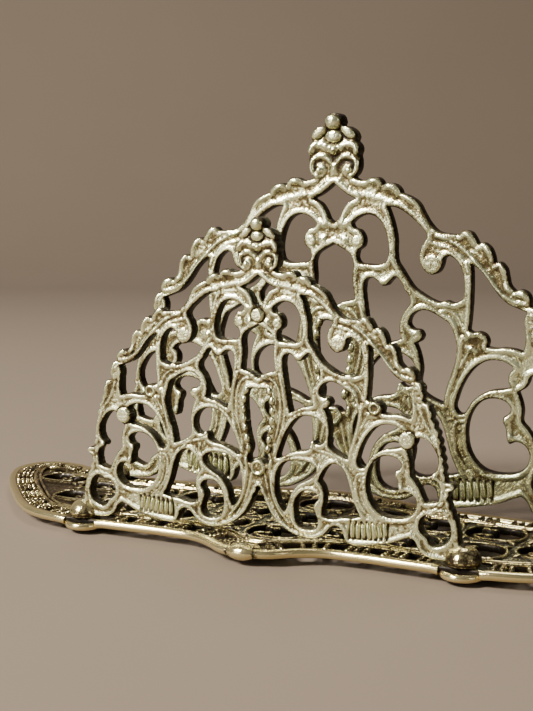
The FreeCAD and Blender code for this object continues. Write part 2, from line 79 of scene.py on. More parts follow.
# Right half of one panel, x from the centre line and z from the foot centre.
# A run is one smooth curve; a corner is left where two runs meet.
PANEL_EDGE: Outline = [
    [(0, 84.2), (1.5, 83.7), (2.1, 82.4), (1.9, 81.3)],
    [(1.9, 81.3), (3.3, 81.2), (4.8, 80.2), (5.3, 78.9), (5.0, 78.2)],
    [(5.0, 78.2), (5.8, 77.3), (6.0, 76.2), (5.7, 75.3)],
    [(5.7, 75.3), (6.0, 74.3), (6.0, 72.6), (5.4, 71.2), (4.6, 70.5)],
    [(4.6, 70.5), (6.0, 69.9), (7.4, 69.9), (8.6, 70.4), (10.0, 70.5), (11.0, 69.7), (11.3, 68.9)],
    [(11.3, 68.9), (12.6, 69.3), (14.2, 68.9), (15.2, 67.9), (15.4, 67.2)],
    [(15.4, 67.2), (17.3, 66.5), (19.2, 65.2), (20.4, 63.2), (21.8, 61.0), (23.6, 59.3),
     (26.0, 58.8), (28.2, 58.7)],
    [(28.2, 58.7), (29.3, 59.5), (30.8, 59.2), (31.8, 57.9), (32.4, 56.7)],
    [(32.4, 56.7), (33.4, 57.1), (34.9, 56.1), (35.7, 54.4), (36.0, 53.0)],
    [(36.0, 53.0), (37.0, 53.2), (38.3, 52.0), (38.8, 50.2), (39.2, 48.6), (40.3, 47.3)],
    [(40.3, 47.3), (41.6, 47.7), (43.1, 46.9), (43.7, 45.3), (43.6, 44.3)],
    [(43.6, 44.3), (44.7, 43.9), (45.5, 42.7), (45.9, 41.2), (45.7, 40.0), (46.0, 39.1)],
    [(46.0, 39.1), (47.0, 38.7), (47.9, 37.3), (48.2, 35.4), (48.9, 33.6), (49.6, 32.0),
     (50.2, 29.8), (50.7, 27.4), (51.1, 25.0), (51.4, 22.6), (51.7, 20.4), (52.1, 19.9)],
    [(52.1, 19.9), (53.2, 19.8), (54.0, 18.6), (53.6, 17.4), (52.6, 16.9)],
    [(52.6, 16.9), (52.4, 15.9), (52.8, 14.4), (53.8, 12.0), (54.6, 9.6), (55.1, 7.0), (55.3, 4.5)],
    [(55.3, 4.5), (57.2, 3.6), (58.3, 1.8), (58.0, 0.4), (57.0, -0.5), (55.0, -0.6)],
    [(55.0, -0.6), (51.5, -0.2), (48.5, 0.0), (46.3, 0.7), (44.8, 2.0), (43.8, 3.9), (42.6, 4.8)],
    [(42.6, 4.8), (41.0, 4.2), (38.0, 2.9), (34.0, 1.9), (30.0, 1.1), (27.0, 0.9), (25.3, 1.5),
     (24.5, 2.9), (24.1, 4.3), (23.0, 5.2), (21.4, 5.1), (20.3, 4.2)],
    [(20.3, 4.2), (18.8, 2.5), (16.5, 1.4), (13.2, 1.2), (10.0, 1.9), (7.0, 3.5), (4.5, 5.6),
     (2.6, 8.6), (1.1, 11.5), (0, 13.4)],
]
# Openings that straddle the centre line: right half from top to bottom.
AXIS_OPENINGS: dict[str, Outline] = {
    "diamond": [
        [(0, 69.2), (1.6, 67.9), (3.2, 66.8), (5.0, 66.0)],
        [(5.0, 66.0), (3.2, 65.0), (2.0, 63.4), (1.2, 61.7), (0, 60.7)],
    ],
    "under_cross": [
        [(0, 56.3), (2.0, 55.3), (3.9, 54.0), (4.6, 52.2), (4.4, 49.0), (4.7, 46.4), (4.9, 44.5)],
        [(4.9, 44.5), (3.6, 44.1), (2.0, 43.7), (0.9, 43.0), (0, 42.3)],
    ],
    "arch": [
        [(0, 39.3), (1.6, 39.6), (3.0, 39.2), (3.9, 37.6), (4.0, 35.0), (3.8, 32.0), (3.5, 29.0),
         (2.9, 26.2), (2.4, 24.4), (2.5, 22.8), (3.1, 21.4), (2.9, 19.8)],
        [(2.9, 19.8), (2.0, 19.7), (1.3, 20.4), (0, 20.8)],
    ],
}
# Openings of one half, mirrored to the other.
SIDE_OPENINGS: dict[str, Outline] = {
    "pear": [
        [(4.1, 60.7), (5.3, 61.8), (7.4, 62.6), (9.4, 62.3), (11.0, 61.0), (12.0, 58.9), (12.6, 56.4),
         (12.6, 54.2), (12.0, 52.6), (10.4, 52.0), (8.0, 52.1), (6.1, 52.3), (5.4, 53.4), (5.6, 54.9)],
        [(5.6, 54.9), (6.9, 56.0), (7.0, 57.8), (6.0, 59.3), (4.6, 59.8), (4.1, 60.7)],
    ],
    "tall": [
        [(9.3, 33.8), (8.8, 35.4), (8.2, 38.8), (7.5, 43.0), (7.1, 46.6), (7.5, 48.6), (8.9, 49.2),
         (10.1, 48.6), (11.2, 47.6), (12.3, 47.6), (13.2, 48.6), (14.3, 49.5), (15.3, 48.8),
         (16.5, 46.8), (17.6, 45.2), (17.6, 43.9), (16.5, 42.4), (15.5, 40.3), (15.3, 38.2), (15.7, 36.4)],
        [(15.7, 36.4), (14.6, 35.9), (12.6, 35.5), (10.6, 34.6), (9.3, 33.8)],
    ],
    "hook": [
        [(18.9, 35.5), (20.2, 36.2), (20.6, 37.4), (19.9, 38.4), (18.3, 38.7), (17.5, 39.7),
         (17.9, 41.2), (19.2, 42.3), (21.0, 42.7), (23.0, 42.1), (25.0, 41.0), (26.5, 40.0),
         (27.5, 37.8), (28.1, 35.2), (27.9, 32.6), (27.1, 29.8), (26.1, 26.8), (25.6, 24.6), (25.4, 23.1)],
        [(25.4, 23.1), (24.2, 23.5), (22.0, 24.5), (20.3, 25.9), (20.1, 27.6), (20.4, 30.0),
         (20.1, 32.2), (19.5, 34.2), (18.9, 35.5)],
    ],
    "ring_arc": [
        [(5.6, 21.7), (6.2, 24.4), (7.4, 27.4), (9.2, 30.5), (11.4, 32.6), (14.0, 33.4), (16.6, 33.0),
         (18.5, 31.5), (19.3, 29.3), (19.0, 27.3), (17.9, 26.3), (16.5, 26.3), (15.7, 27.0),
         (15.0, 26.3), (14.7, 24.9), (13.4, 24.2), (10.8, 23.8), (8.2, 22.8), (5.6, 21.7)],
    ],
    "lens": [
        [(7.6, 7.6), (6.2, 9.2), (5.2, 11.4), (4.9, 14.2), (5.2, 17.4), (6.2, 19.5), (8.0, 20.8),
         (10.4, 21.4), (13.0, 21.5), (15.4, 21.0), (16.6, 19.7), (16.2, 18.2), (15.0, 17.1),
         (13.4, 16.2), (11.5, 15.1), (9.9, 13.2), (8.9, 11.0), (8.4, 9.0), (7.6, 7.6)],
    ],
    "inner_gap": [
        [(17.3, 16.6), (18.4, 15.2), (19.0, 13.0), (18.8, 11.0), (18.4, 9.2), (18.6, 7.8), (19.8, 7.2),
         (21.6, 7.1), (24.0, 7.7), (26.8, 7.9), (29.0, 8.5)],
        [(29.0, 8.5), (28.1, 10.2), (27.1, 12.5), (26.3, 15.2), (25.5, 17.8), (24.4, 20.0),
         (22.9, 21.3), (21.2, 21.5), (19.6, 20.5), (18.3, 18.8), (17.3, 16.6)],
    ],
    "small_loop": [
        [(17.3, 12.0), (16.6, 11.0), (16.0, 9.7), (16.5, 8.2), (17.0, 6.8), (17.2, 5.3), (16.4, 4.0),
         (14.6, 3.5), (12.6, 3.8), (11.1, 5.0), (10.5, 6.7), (10.4, 8.6), (10.7, 10.6), (11.7, 12.5),
         (13.3, 13.6), (15.2, 13.8), (16.8, 13.1), (17.3, 12.0)],
    ],
    "big_ring": [
        [(39.8, 15.7), (41.2, 16.2), (42.8, 15.8), (43.9, 14.5), (44.1, 12.8), (43.3, 11.0),
         (41.6, 9.8), (39.2, 9.3), (36.6, 9.3), (34.2, 10.0), (32.2, 11.8), (31.0, 14.2), (30.6, 17.0),
         (30.8, 19.4), (31.6, 21.8), (33.2, 23.8), (35.2, 24.8), (37.4, 24.9), (39.2, 24.2),
         (40.0, 22.9), (39.4, 21.8), (38.5, 21.2), (38.4, 20.2), (39.0, 18.9), (39.2, 17.2), (39.8, 15.7)],
    ],
    "crescent": [
        [(39.9, 27.4), (38.2, 27.0), (35.8, 26.6), (33.6, 25.6), (31.8, 24.1), (30.7, 22.4),
         (30.1, 21.5), (29.0, 21.2), (28.0, 22.4), (28.5, 24.9), (29.6, 27.7), (31.2, 30.2),
         (33.2, 32.0), (35.6, 32.9), (38.0, 32.8), (39.8, 32.0), (40.4, 31.4)],
        [(40.4, 31.4), (39.5, 30.3), (39.3, 28.8), (39.9, 27.4)],
    ],
    "drop": [
        [(41.4, 26.6), (42.8, 27.5), (43.6, 28.8), (43.9, 29.8), (45.0, 30.3), (46.8, 29.7),
         (48.3, 28.1), (49.4, 26.0), (49.6, 24.0), (49.0, 22.3), (48.0, 21.1), (48.3, 20.2),
         (49.6, 19.5), (50.2, 18.2), (50.2, 16.2), (49.8, 14.7)],
        [(49.8, 14.7), (48.2, 14.2), (46.4, 14.1)],
        [(46.4, 14.1), (45.8, 15.2), (44.9, 17.2), (43.6, 19.1), (42.4, 20.5), (42.5, 22.6),
         (42.2, 24.4), (41.4, 26.6)],
    ],
    "corner": [
        [(47.6, 3.9), (46.8, 5.2), (45.5, 6.1), (44.9, 7.1), (44.9, 8.4), (45.4, 9.9), (46.8, 10.9),
         (48.2, 10.9), (49.4, 11.7), (50.8, 11.7), (52.1, 10.6), (53.0, 8.6), (53.1, 6.4), (52.2, 4.6),
         (50.6, 3.5), (48.8, 3.1), (47.6, 3.9)],
    ],
    "shoulder": [
        [(31.0, 52.6), (31.2, 50.0), (31.2, 46.0), (31.0, 42.0), (30.7, 38.9)],
        [(30.7, 38.9), (31.6, 38.5), (32.8, 38.7), (34.2, 38.1), (34.9, 36.8), (34.7, 35.6)],
        [(34.7, 35.6), (36.4, 35.4), (38.6, 35.6), (40.6, 35.4), (42.3, 34.9)],
        [(42.3, 34.9), (42.7, 36.6), (42.6, 39.6), (42.4, 41.6), (42.9, 43.1)],
        [(42.9, 43.1), (41.0, 43.8), (39.0, 44.6), (37.2, 46.0), (35.7, 47.9), (34.3, 49.9),
         (32.8, 51.5), (31.0, 52.6)],
    ],
    "scroll_ball": [
        [(12.2, 64.4), (14.4, 64.1), (16.8, 62.8), (19.0, 61.0), (20.8, 59.2), (21.2, 58.0),
         (20.2, 56.3), (19.6, 54.4), (19.9, 52.4), (20.9, 50.9), (22.4, 50.2), (23.9, 50.8),
         (24.7, 52.2), (25.1, 53.7), (26.2, 54.2), (27.6, 53.4), (28.8, 51.8), (29.4, 49.6),
         (29.6, 47.2), (29.3, 45.4), (28.2, 44.7), (27.2, 44.4), (25.6, 44.9), (24.2, 44.4)],
        [(24.2, 44.4), (22.4, 45.0), (20.2, 46.2), (18.4, 47.4), (17.0, 49.2), (15.8, 51.0),
         (14.6, 52.8), (14.3, 55.0), (14.3, 57.4), (13.7, 60.4), (12.9, 62.8), (12.2, 64.4)],
    ],
}
# Round studs and ball ends standing in front of the scrollwork: x, z, radius.
FRONT_STUDS: list[Triple] = [(0.0, 58.8, 1.7), (41.5, 29.4, 2.1)]
BALL_FACES: list[Triple] = [(22.5, 52.5, 1.95), (5.4, 56.9, 1.25)]
BUD_RING: Triple = (32.8, 36.8, 1.7)
RING_BOSS: Triple = (0.0, 18.6, 2.15)
# Lines that the beads of the centre loop and the ribs over a lower scroll follow.
BEAD_LINE: Run = [
    (3.4, 39.0), (4.0, 37.2), (4.2, 34.6), (4.1, 31.6), (3.7, 28.6), (3.15, 25.8), (2.85, 23.6),
]
RIB_LINE: Run = [(26.9, 4.8), (29.0, 4.8), (32.0, 5.1), (35.8, 5.7)]

# Right half of the tray outline: x, and y back from the front panel's face.
TRAY_EDGE: Run = [
    (0, -10.0), (7, -8.8), (13, -4.6), (19, -1.6), (30, -0.8), (44, -1.2), (56, -1.4), (66, -0.8),
    (76, 2.2), (85, 8.8), (94, 18.0), (103, 28.0), (110.5, 38.5), (114.5, 48.5), (112.2, 57.2),
    (104.5, 61.0), (95, 59.6), (86, 55.4), (75, 52.6), (62, 53.0), (48, 54.2), (34, 55.0), (23, 57.4),
    (12, 61.4), (0, 62.5),
]

# Raised lines that run over the casting: points, half width, height.
RIDGES: list[tuple[Run, float, float]] = [
    ([(0, 76.4), (1.6, 77.0), (3.2, 77.5), (4.7, 77.0), (5.5, 76.1)], 0.62, 0.75),
    ([(0.4, 71.2), (0.4, 73.2), (1.5, 74.5), (3.2, 74.9), (4.8, 74.3), (5.3, 72.9), (4.9, 71.5),
      (3.8, 70.9), (2.8, 71.2), (2.4, 72.1), (2.9, 72.9), (3.7, 72.7)], 0.42, 0.75),
    ([(0.4, 70.3), (1.8, 69.1), (3.4, 68.0), (5.4, 67.1), (8.0, 66.6), (11.0, 66.0), (14.4, 65.3),
      (17.0, 64.2), (19.2, 62.3), (21.2, 59.8)], 0.5, 0.3),
    ([(23.4, 58.2), (26.2, 57.4), (28.8, 56.0), (31.2, 53.9), (33.5, 51.2), (35.8, 48.4), (38.0, 46.4),
      (40.6, 45.2), (42.6, 44.7)], 0.34, 0.42),
    ([(22.2, 56.9), (24.6, 56.2), (27.0, 55.6), (29.4, 53.6), (30.4, 51.0)], 0.3, 0.3),
    ([(43.9, 42.4), (44.3, 39.4), (45.0, 36.6), (46.3, 33.8), (48.2, 31.0), (49.8, 27.6), (50.6, 23.8)],
     0.3, 0.35),
    ([(1.0, 43.0), (2.2, 42.3), (3.8, 42.1), (5.2, 41.0), (6.2, 38.6), (6.5, 35.2), (6.3, 32.0),
      (5.6, 28.8), (4.8, 25.6), (4.4, 22.4)], 0.3, 0.4),
    ([(6.0, 43.6), (7.1, 40.2), (7.6, 36.4), (7.6, 33.0), (6.9, 29.6), (5.7, 26.0), (4.9, 22.6)],
     0.3, 0.35),
    ([(3.7, 20.4), (3.5, 17.4), (3.9, 13.8), (4.9, 10.4), (6.5, 7.4), (8.8, 4.8)], 0.32, 0.4),
    ([(1.9, 17.2), (2.5, 14.4), (3.3, 11.4), (4.6, 8.4), (6.4, 5.6)], 0.28, 0.35),
    ([(29.8, 19.6), (28.3, 19.4), (27.7, 18.0), (27.9, 15.4), (28.8, 12.4), (30.4, 9.8)], 0.28, 0.42),
    ([(29.9, 17.6), (29.1, 16.6), (29.2, 14.2), (30.0, 12.0), (31.4, 10.2)], 0.24, 0.3),
    ([(15.3, 25.4), (17.2, 24.6), (19.4, 24.2), (21.6, 23.2), (23.6, 21.4)], 0.28, 0.3),
    ([(17.6, 23.4), (17.9, 21.6), (17.3, 19.4)], 0.28, 0.3),
    ([(24.8, 42.6), (26.6, 42.6), (28.6, 41.0), (29.4, 38.6)], 0.3, 0.3),
    ([(29.4, 37.6), (28.9, 34.0), (28.0, 30.0), (27.0, 26.0)], 0.28, 0.25),
    ([(31.4, 35.4), (30.2, 33.4), (28.9, 30.8)], 0.26, 0.35),
    ([(33.6, 8.6), (36.4, 8.2), (39.6, 8.4), (42.2, 9.0)], 0.3, 0.25),
    ([(46.6, 12.6), (48.4, 12.4), (49.8, 13.2), (51.2, 14.6)], 0.26, 0.25),
]
# Domed leaves and ball ends of the finial.
BUDS: list[Bump] = [
    (0.0, 82.3, 2.0, 1.9, 0, 1.5),
    (0.0, 79.2, 1.9, 1.4, 0, 0.75),
    (3.4, 80.2, 2.2, 1.2, -40, 0.6),
    (3.4, 71.9, 0.9, 0.9, 0, 0.8),
]
# Soft swellings that have no crease round them.
LOBES: list[Bump] = [
    (9.3, 69.6, 1.7, 0.9, -10, 0.45),
    (13.2, 68.3, 2.1, 1.0, -28, 0.45),
    (17.4, 65.8, 2.4, 0.9, -32, 0.25),
    (30.2, 58.3, 1.3, 0.8, -42, 0.28),
    (34.5, 55.4, 1.5, 0.8, -58, 0.3),
    (37.9, 51.6, 1.7, 0.8, -64, 0.3),
    (38.8, 47.3, 1.4, 1.1, -40, 0.3),
    (42.0, 46.4, 1.5, 1.2, -35, 0.45),
    (44.7, 42.3, 1.7, 0.95, -72, 0.4),
    (47.2, 36.8, 2.3, 1.0, -70, 0.4),
    (2.4, 60.5, 1.2, 0.9, 40, 0.4),
    (2.6, 57.1, 1.2, 0.9, -35, 0.4),
    (12.0, 48.6, 1.3, 0.8, 25, 0.3),
    (39.1, 20.4, 1.1, 0.9, 0, 0.3),
    (40.0, 17.0, 1.0, 0.7, 50, 0.25),
    (48.7, 20.6, 1.0, 0.7, 0, 0.25),
    (16.9, 9.9, 0.9, 1.4, 0, 0.3),
    (18.8, 37.2, 1.3, 1.0, 0, 0.35),
    (25.8, 43.6, 1.4, 0.9, -15, 0.3),
    (30.6, 37.4, 1.6, 0.9, 35, 0.4),
    (31.4, 34.9, 1.6, 0.8, -15, 0.4),
]


def smooth_run(points: Run, step: float = 0.25) -> np.ndarray:
    """Sample one smooth curve through a few points.

    Args:
        points: the points that the curve passes through.
        step: spacing of the samples.

    Returns:
        An array of (x, y) rows that starts and ends on the first and last point.
    """
    given = np.array(points, float)
    closed = len(points) > 3 and points[0] == points[-1]
    before = given[-2] if closed else 2 * given[0] - given[1]
    after = given[1] if closed else 2 * given[-1] - given[-2]
    knots = np.vstack([before, given, after])
    pieces = []
    for p0, p1, p2, p3 in zip(knots, knots[1:], knots[2:], knots[3:]):
        t01, t12, t23 = (max(np.linalg.norm(b - a), 1e-6) ** 0.5 for a, b in ((p0, p1), (p1, p2), (p2, p3)))
        m1 = (p2 - p1) + t12 * ((p1 - p0) / t01 - (p2 - p0) / (t01 + t12))
        m2 = (p2 - p1) + t12 * ((p3 - p2) / t23 - (p3 - p1) / (t12 + t23))
        count = max(2, int(math.ceil(np.linalg.norm(p2 - p1) / step)))
        t = np.linspace(0, 1, count, endpoint=False)[:, None]
        pieces.append((2 * t ** 3 - 3 * t ** 2 + 1) * p1 + (t ** 3 - 2 * t ** 2 + t) * m1
                      + (3 * t ** 2 - 2 * t ** 3) * p2 + (t ** 3 - t ** 2) * m2)
    return np.vstack(pieces + [given[-1:]])


def chain(runs: Outline) -> np.ndarray:
    """Join sampled runs end to end."""
    parts = [smooth_run(run) for run in runs]
    return np.vstack([part[:-1] for part in parts] + [parts[-1][-1:]])


def mirror(points: np.ndarray) -> np.ndarray:
    """Reflect points about the centre line, in reverse order."""
    return points[::-1] * np.array([-1.0, 1.0])


def both_sides(line: np.ndarray) -> tuple[np.ndarray, np.ndarray]:
    """A line of the right half and its mirror image."""
    return line, mirror(line)


def pair(x: float, z: float) -> set[Point]:
    """A place and its mirror image, which are one on the centre line."""
    return {(x, z), (-x, z)}


def symmetric_loop(runs: Outline) -> np.ndarray:
    """Close a half outline that starts and ends on the centre line."""
    half = chain(runs)
    return np.vstack([half, mirror(half)[1:]])


def soft_step(low: float, high: float, value: np.ndarray) -> np.ndarray:
    """Smooth ramp from 0 at low to 1 at high."""
    t = np.clip((value - low) / (high - low), 0, 1)
    return t * t * (3 - 2 * t)


class Relief:
    """A sheet of openwork on a square grid, with a height over every point."""

    REACH = 3.2
    ROUND_OFF = 0.38
    BORDER_AT = 0.55
    BORDER_WIDTH = 0.34
    MIDDLE = (0.95, 1.6)
    BACK_MIDDLE = (0.8, 1.8)
    BACK_SUNK = 0.3
    STUD_ROLL = 0.45
    OCTAVES = ((1.0, 0.65), (0.5, 0.35))
    WALL_RINGS = (0.12, 0.88)

    def __init__(self, low: Point, high: Point, step: float) -> None:
        """Lay out the grid between two corners.

        Args:
            low: lowest corner of the grid.
            high: highest corner.
            step: spacing of the grid points.
        """
        self.step = step
        self.us = np.arange(low[0], high[0] + step, step)
        self.vs = np.arange(low[1], high[1] + step, step)
        self.u, self.v = np.meshgrid(self.us, self.vs)
        self.edge = np.full(self.u.shape, -self.REACH)
        self.front = np.zeros(self.u.shape)
        self.back = np.zeros(self.u.shape)

    def window(self, a: np.ndarray, b: np.ndarray, reach: float) -> tuple[slice, slice]:
        """Rows and columns of the grid near one segment.

        Args:
            a: start of the segment.
            b: end of the segment.
            reach: how far round it to look.

        Returns:
            Slices of rows and of columns.
        """
        low = (np.minimum(a, b) - reach - (self.us[0], self.vs[0])) / self.step
        high = (np.maximum(a, b) + reach - (self.us[0], self.vs[0])) / self.step + 1
        i0, j0 = (int(max(0, k)) for k in low)
        i1, j1 = (int(max(0, k)) for k in high)
        return slice(j0, j1 + 1), slice(i0, i1 + 1)

    def distance(self, points: np.ndarray, reach: float) -> np.ndarray:
        """Distance from every grid point to a polyline, up to a reach.

        Args:
            points: the polyline.
            reach: distances past this stay at this value.

        Returns:
            An array the shape of the grid.
        """
        out = np.full(self.u.shape, reach)
        for a, b in zip(points, points[1:]):
            win = self.window(a, b, reach)
            along = b - a
            length = float(along @ along) or 1e-12
            du, dv = self.u[win] - a[0], self.v[win] - a[1]
            t = np.clip((du * along[0] + dv * along[1]) / length, 0, 1)
            near = np.hypot(du - t * along[0], dv - t * along[1])
            out[win] = np.minimum(out[win], near)
        return out

    def add_openwork(self, loops: list[np.ndarray]) -> None:
        """Set the signed distance from loops: solid in the first, open in the rest.

        Args:
            loops: closed lines: the outline, then the openings.
        """
        gap = np.full(self.u.shape, self.REACH)
        for loop in loops:
            gap = np.minimum(gap, self.distance(loop, self.REACH))
        starts = np.vstack([loop[:-1] for loop in loops])
        ends = np.vstack([loop[1:] for loop in loops])
        solid = np.zeros(self.u.shape, bool)
        for row, level in enumerate(self.vs):
            hit = (starts[:, 1] > level) != (ends[:, 1] > level)
            a, b = starts[hit], ends[hit]
            cross = np.sort(a[:, 0] + (level - a[:, 1]) * (b[:, 0] - a[:, 0]) / (b[:, 1] - a[:, 1]))
            solid[row] = np.searchsorted(cross, self.us) % 2 == 1
        self.edge = np.where(solid, gap, -gap)

    def scallop(self, loop: np.ndarray, levels: Point, pitch: float, depth: float) -> None:
        """Notch the sheet along the steep flanks of its outline.

        Args:
            loop: the outline.
            levels: lowest and highest place of the notches.
            pitch: distance between notches.
            depth: how far a notch reaches inwards.
        """
        wave = 1 - np.abs(np.sin(math.pi * self.v / pitch))
        low, high = levels
        band = soft_step(low, low + 2, self.v) * (1 - soft_step(high - 2, high, self.v))
        near = 1 - soft_step(0.5, 1.4, self.distance(loop, 1.6))
        self.edge -= depth * wave * band * near

    def add_stroke(self, points: np.ndarray, radius: float) -> None:
        """Fuse a bar with round ends onto the sheet."""
        self.edge = np.maximum(self.edge, radius - self.distance(points, radius + 1.0))

    def add_disc(self, centre: Point, radius: float) -> None:
        """Fuse a round plate onto the sheet."""
        self.edge = np.maximum(self.edge, radius - np.hypot(self.u - centre[0], self.v - centre[1]))

    def cast(self, half: float, border: float, sunk: float) -> None:
        """Give every strut rounded edges, a raised border and a sunken middle.

        Args:
            half: half the thickness of the sheet.
            border: height of the border along each edge.
            sunk: depth of the middle of wide struts.
        """
        inside = np.clip(self.edge, 0, None)
        radius = self.ROUND_OFF
        roll = np.sqrt(radius ** 2 - (radius - np.minimum(inside, radius)) ** 2) - radius
        bead = border * np.exp(-((inside - self.BORDER_AT) / self.BORDER_WIDTH) ** 2)
        hollow = sunk * soft_step(*self.MIDDLE, inside)
        self.front = half + roll + bead - hollow
        self.back = half + roll - self.BACK_SUNK * soft_step(*self.BACK_MIDDLE, inside)

    def ridge(self, points: np.ndarray, width: float, height: float) -> None:
        """Raise a line with a shallow groove along both sides.

        Args:
            points: the line.
            width: half width of the ridge.
            height: its height.
        """
        gap = self.distance(points, width * 4)
        self.front += height * np.exp(-(gap / width) ** 2)
        self.front -= 0.45 * height * np.exp(-((gap - 2.1 * width) / (0.7 * width)) ** 2)

    def ellipse(self, centre: Point, along: float, across: float, turn: float) -> np.ndarray:
        """Distance from an ellipse's centre in its own half sizes.

        Args:
            centre: middle of the ellipse.
            along: half size along it.
            across: half size across it.
            turn: its turn in degrees.

        Returns:
            Values that are 1 on the ellipse itself.
        """
        du, dv = self.u - centre[0], self.v - centre[1]
        c, s = math.cos(math.radians(turn)), math.sin(math.radians(turn))
        return np.hypot((du * c + dv * s) / along, (dv * c - du * s) / across)

    def dome(self, centre: Point, along: float, across: float, turn: float, height: float,
             base: float) -> None:
        """Set a domed leaf or ball end on the sheet, with a crease round it.

        Args:
            centre: middle of the dome.
            along: half size along it.
            across: half size across it.
            turn: its turn in degrees.
            height: height of the dome.
            base: height that it stands on.
        """
        ratio = self.ellipse(centre, along, across, turn)
        lift = base + height * np.sqrt(np.clip(1 - ratio ** 2, 0, 1))
        self.front = np.where(ratio < 1, np.maximum(self.front, lift), self.front)
        self.front -= 0.2 * np.exp(-((ratio - 1.12) / 0.15) ** 2)

    def swell(self, centre: Point, along: float, across: float, turn: float, height: float) -> None:
        """Raise a soft lobe on the sheet."""
        self.front += height * np.exp(-1.3 * self.ellipse(centre, along, across, turn) ** 2)

    def groove(self, points: np.ndarray, width: float, depth: float) -> None:
        """Cut a line into the sheet."""
        self.front -= depth * np.exp(-(self.distance(points, width * 4) / width) ** 2)

    def stud(self, centre: Point, radius: float, top: float, crease: float) -> None:
        """Set a flat-topped round stud on the sheet, with a crease round its foot.

        Args:
            centre: middle of the stud.
            radius: its radius.
            top: height of its flat face.
            crease: depth of the crease.
        """
        gap = radius - np.hypot(self.u - centre[0], self.v - centre[1])
        roll = self.STUD_ROLL
        inside = np.clip(gap, 0, roll)
        lift = top - roll + np.sqrt(roll ** 2 - (roll - inside) ** 2)
        self.front = np.where(gap > 0, np.maximum(self.front, lift), self.front)
        self.front -= np.where(gap <= 0, crease * np.exp(-(gap / 0.3) ** 2), 0)

    def ring_bud(self, centre: Point, radius: float, top: float) -> None:
        """Set a round bud with a raised ring and a dished middle.

        Args:
            centre: middle of the bud.
            radius: its radius.
            top: height of the ring.
        """
        gap = radius - np.hypot(self.u - centre[0], self.v - centre[1])
        lift = top - 0.5 * (1 - soft_step(0.0, 0.4, gap)) - 0.4 * soft_step(0.55, 0.9, gap)
        self.front = np.where(gap > 0, lift, self.front)

    def roughen(self, amount: float, size: float, seed: int) -> None:
        """Pit the surface with seeded lumps, more in the sunken parts.

        Args:
            amount: height of the lumps.
            size: size of the largest lumps.
            seed: seed of the lumps.
        """
        rng = np.random.default_rng(seed)
        total = np.zeros(self.u.shape)
        for octave, share in self.OCTAVES:
            pitch = size * octave
            shape = [int(np.ptp(places) / pitch) + 3 for places in (self.vs, self.us)]
            grid = rng.uniform(-1, 1, shape)
            fu, fv = (self.u - self.us[0]) / pitch, (self.v - self.vs[0]) / pitch
            i, j = fu.astype(int), fv.astype(int)
            tu, tv = fu - i, fv - j
            tu, tv = tu * tu * (3 - 2 * tu), tv * tv * (3 - 2 * tv)
            low = grid[j, i] * (1 - tu) + grid[j, i + 1] * tu
            high = grid[j + 1, i] * (1 - tu) + grid[j + 1, i + 1] * tu
            total += share * (low * (1 - tv) + high * tv)
        middle = 0.2 + 0.8 * soft_step(0.8, 1.4, self.edge)
        self.front += amount * total * middle

    def hollowness(self, surface: np.ndarray, radius: float) -> np.ndarray:
        """How deep each point of a face lies among its neighbours.

        Args:
            surface: heights of the face, front or back.
            radius: reach of the comparison.

        Returns:
            Values from 0 on crests to 1 in hollows, on the grid.
        """
        weight = (self.edge > 0).astype(float)
        reach = max(1, int(round(radius / self.step)))

        def blur(values: np.ndarray) -> np.ndarray:
            """Box blur in both directions, twice.

            Args:
                values: the grid to blur.

            Returns:
                Sums over the neighbourhood of each point.
            """
            for _ in range(2):
                for axis in (0, 1):
                    nothing = np.zeros_like(np.take(values, [0], axis))
                    padded = np.concatenate([nothing, np.cumsum(values, axis)], axis)
                    size = values.shape[axis]
                    index = np.arange(size)
                    top = np.minimum(index + reach + 1, size)
                    bottom = np.maximum(index - reach, 0)
                    values = np.take(padded, top, axis) - np.take(padded, bottom, axis)
            return values

        mean = blur(surface * weight) / np.maximum(blur(weight), 1e-9)
        return np.clip(0.42 + (mean - surface) / 0.62, 0, 1)

    def lookup(self, values: np.ndarray, points: np.ndarray) -> np.ndarray:
        """Read a grid at scattered places by linear blending.

        Args:
            values: the grid to read.
            points: rows that start with (u, v).

        Returns:
            One value for each point.
        """
        fu = np.clip((points[:, 0] - self.us[0]) / self.step, 0, len(self.us) - 1.001)
        fv = np.clip((points[:, 1] - self.vs[0]) / self.step, 0, len(self.vs) - 1.001)
        i, j = fu.astype(int), fv.astype(int)
        tu, tv = fu - i, fv - j
        return ((values[j, i] * (1 - tu) + values[j, i + 1] * tu) * (1 - tv)
                + (values[j + 1, i] * (1 - tu) + values[j + 1, i + 1] * tu) * tv)

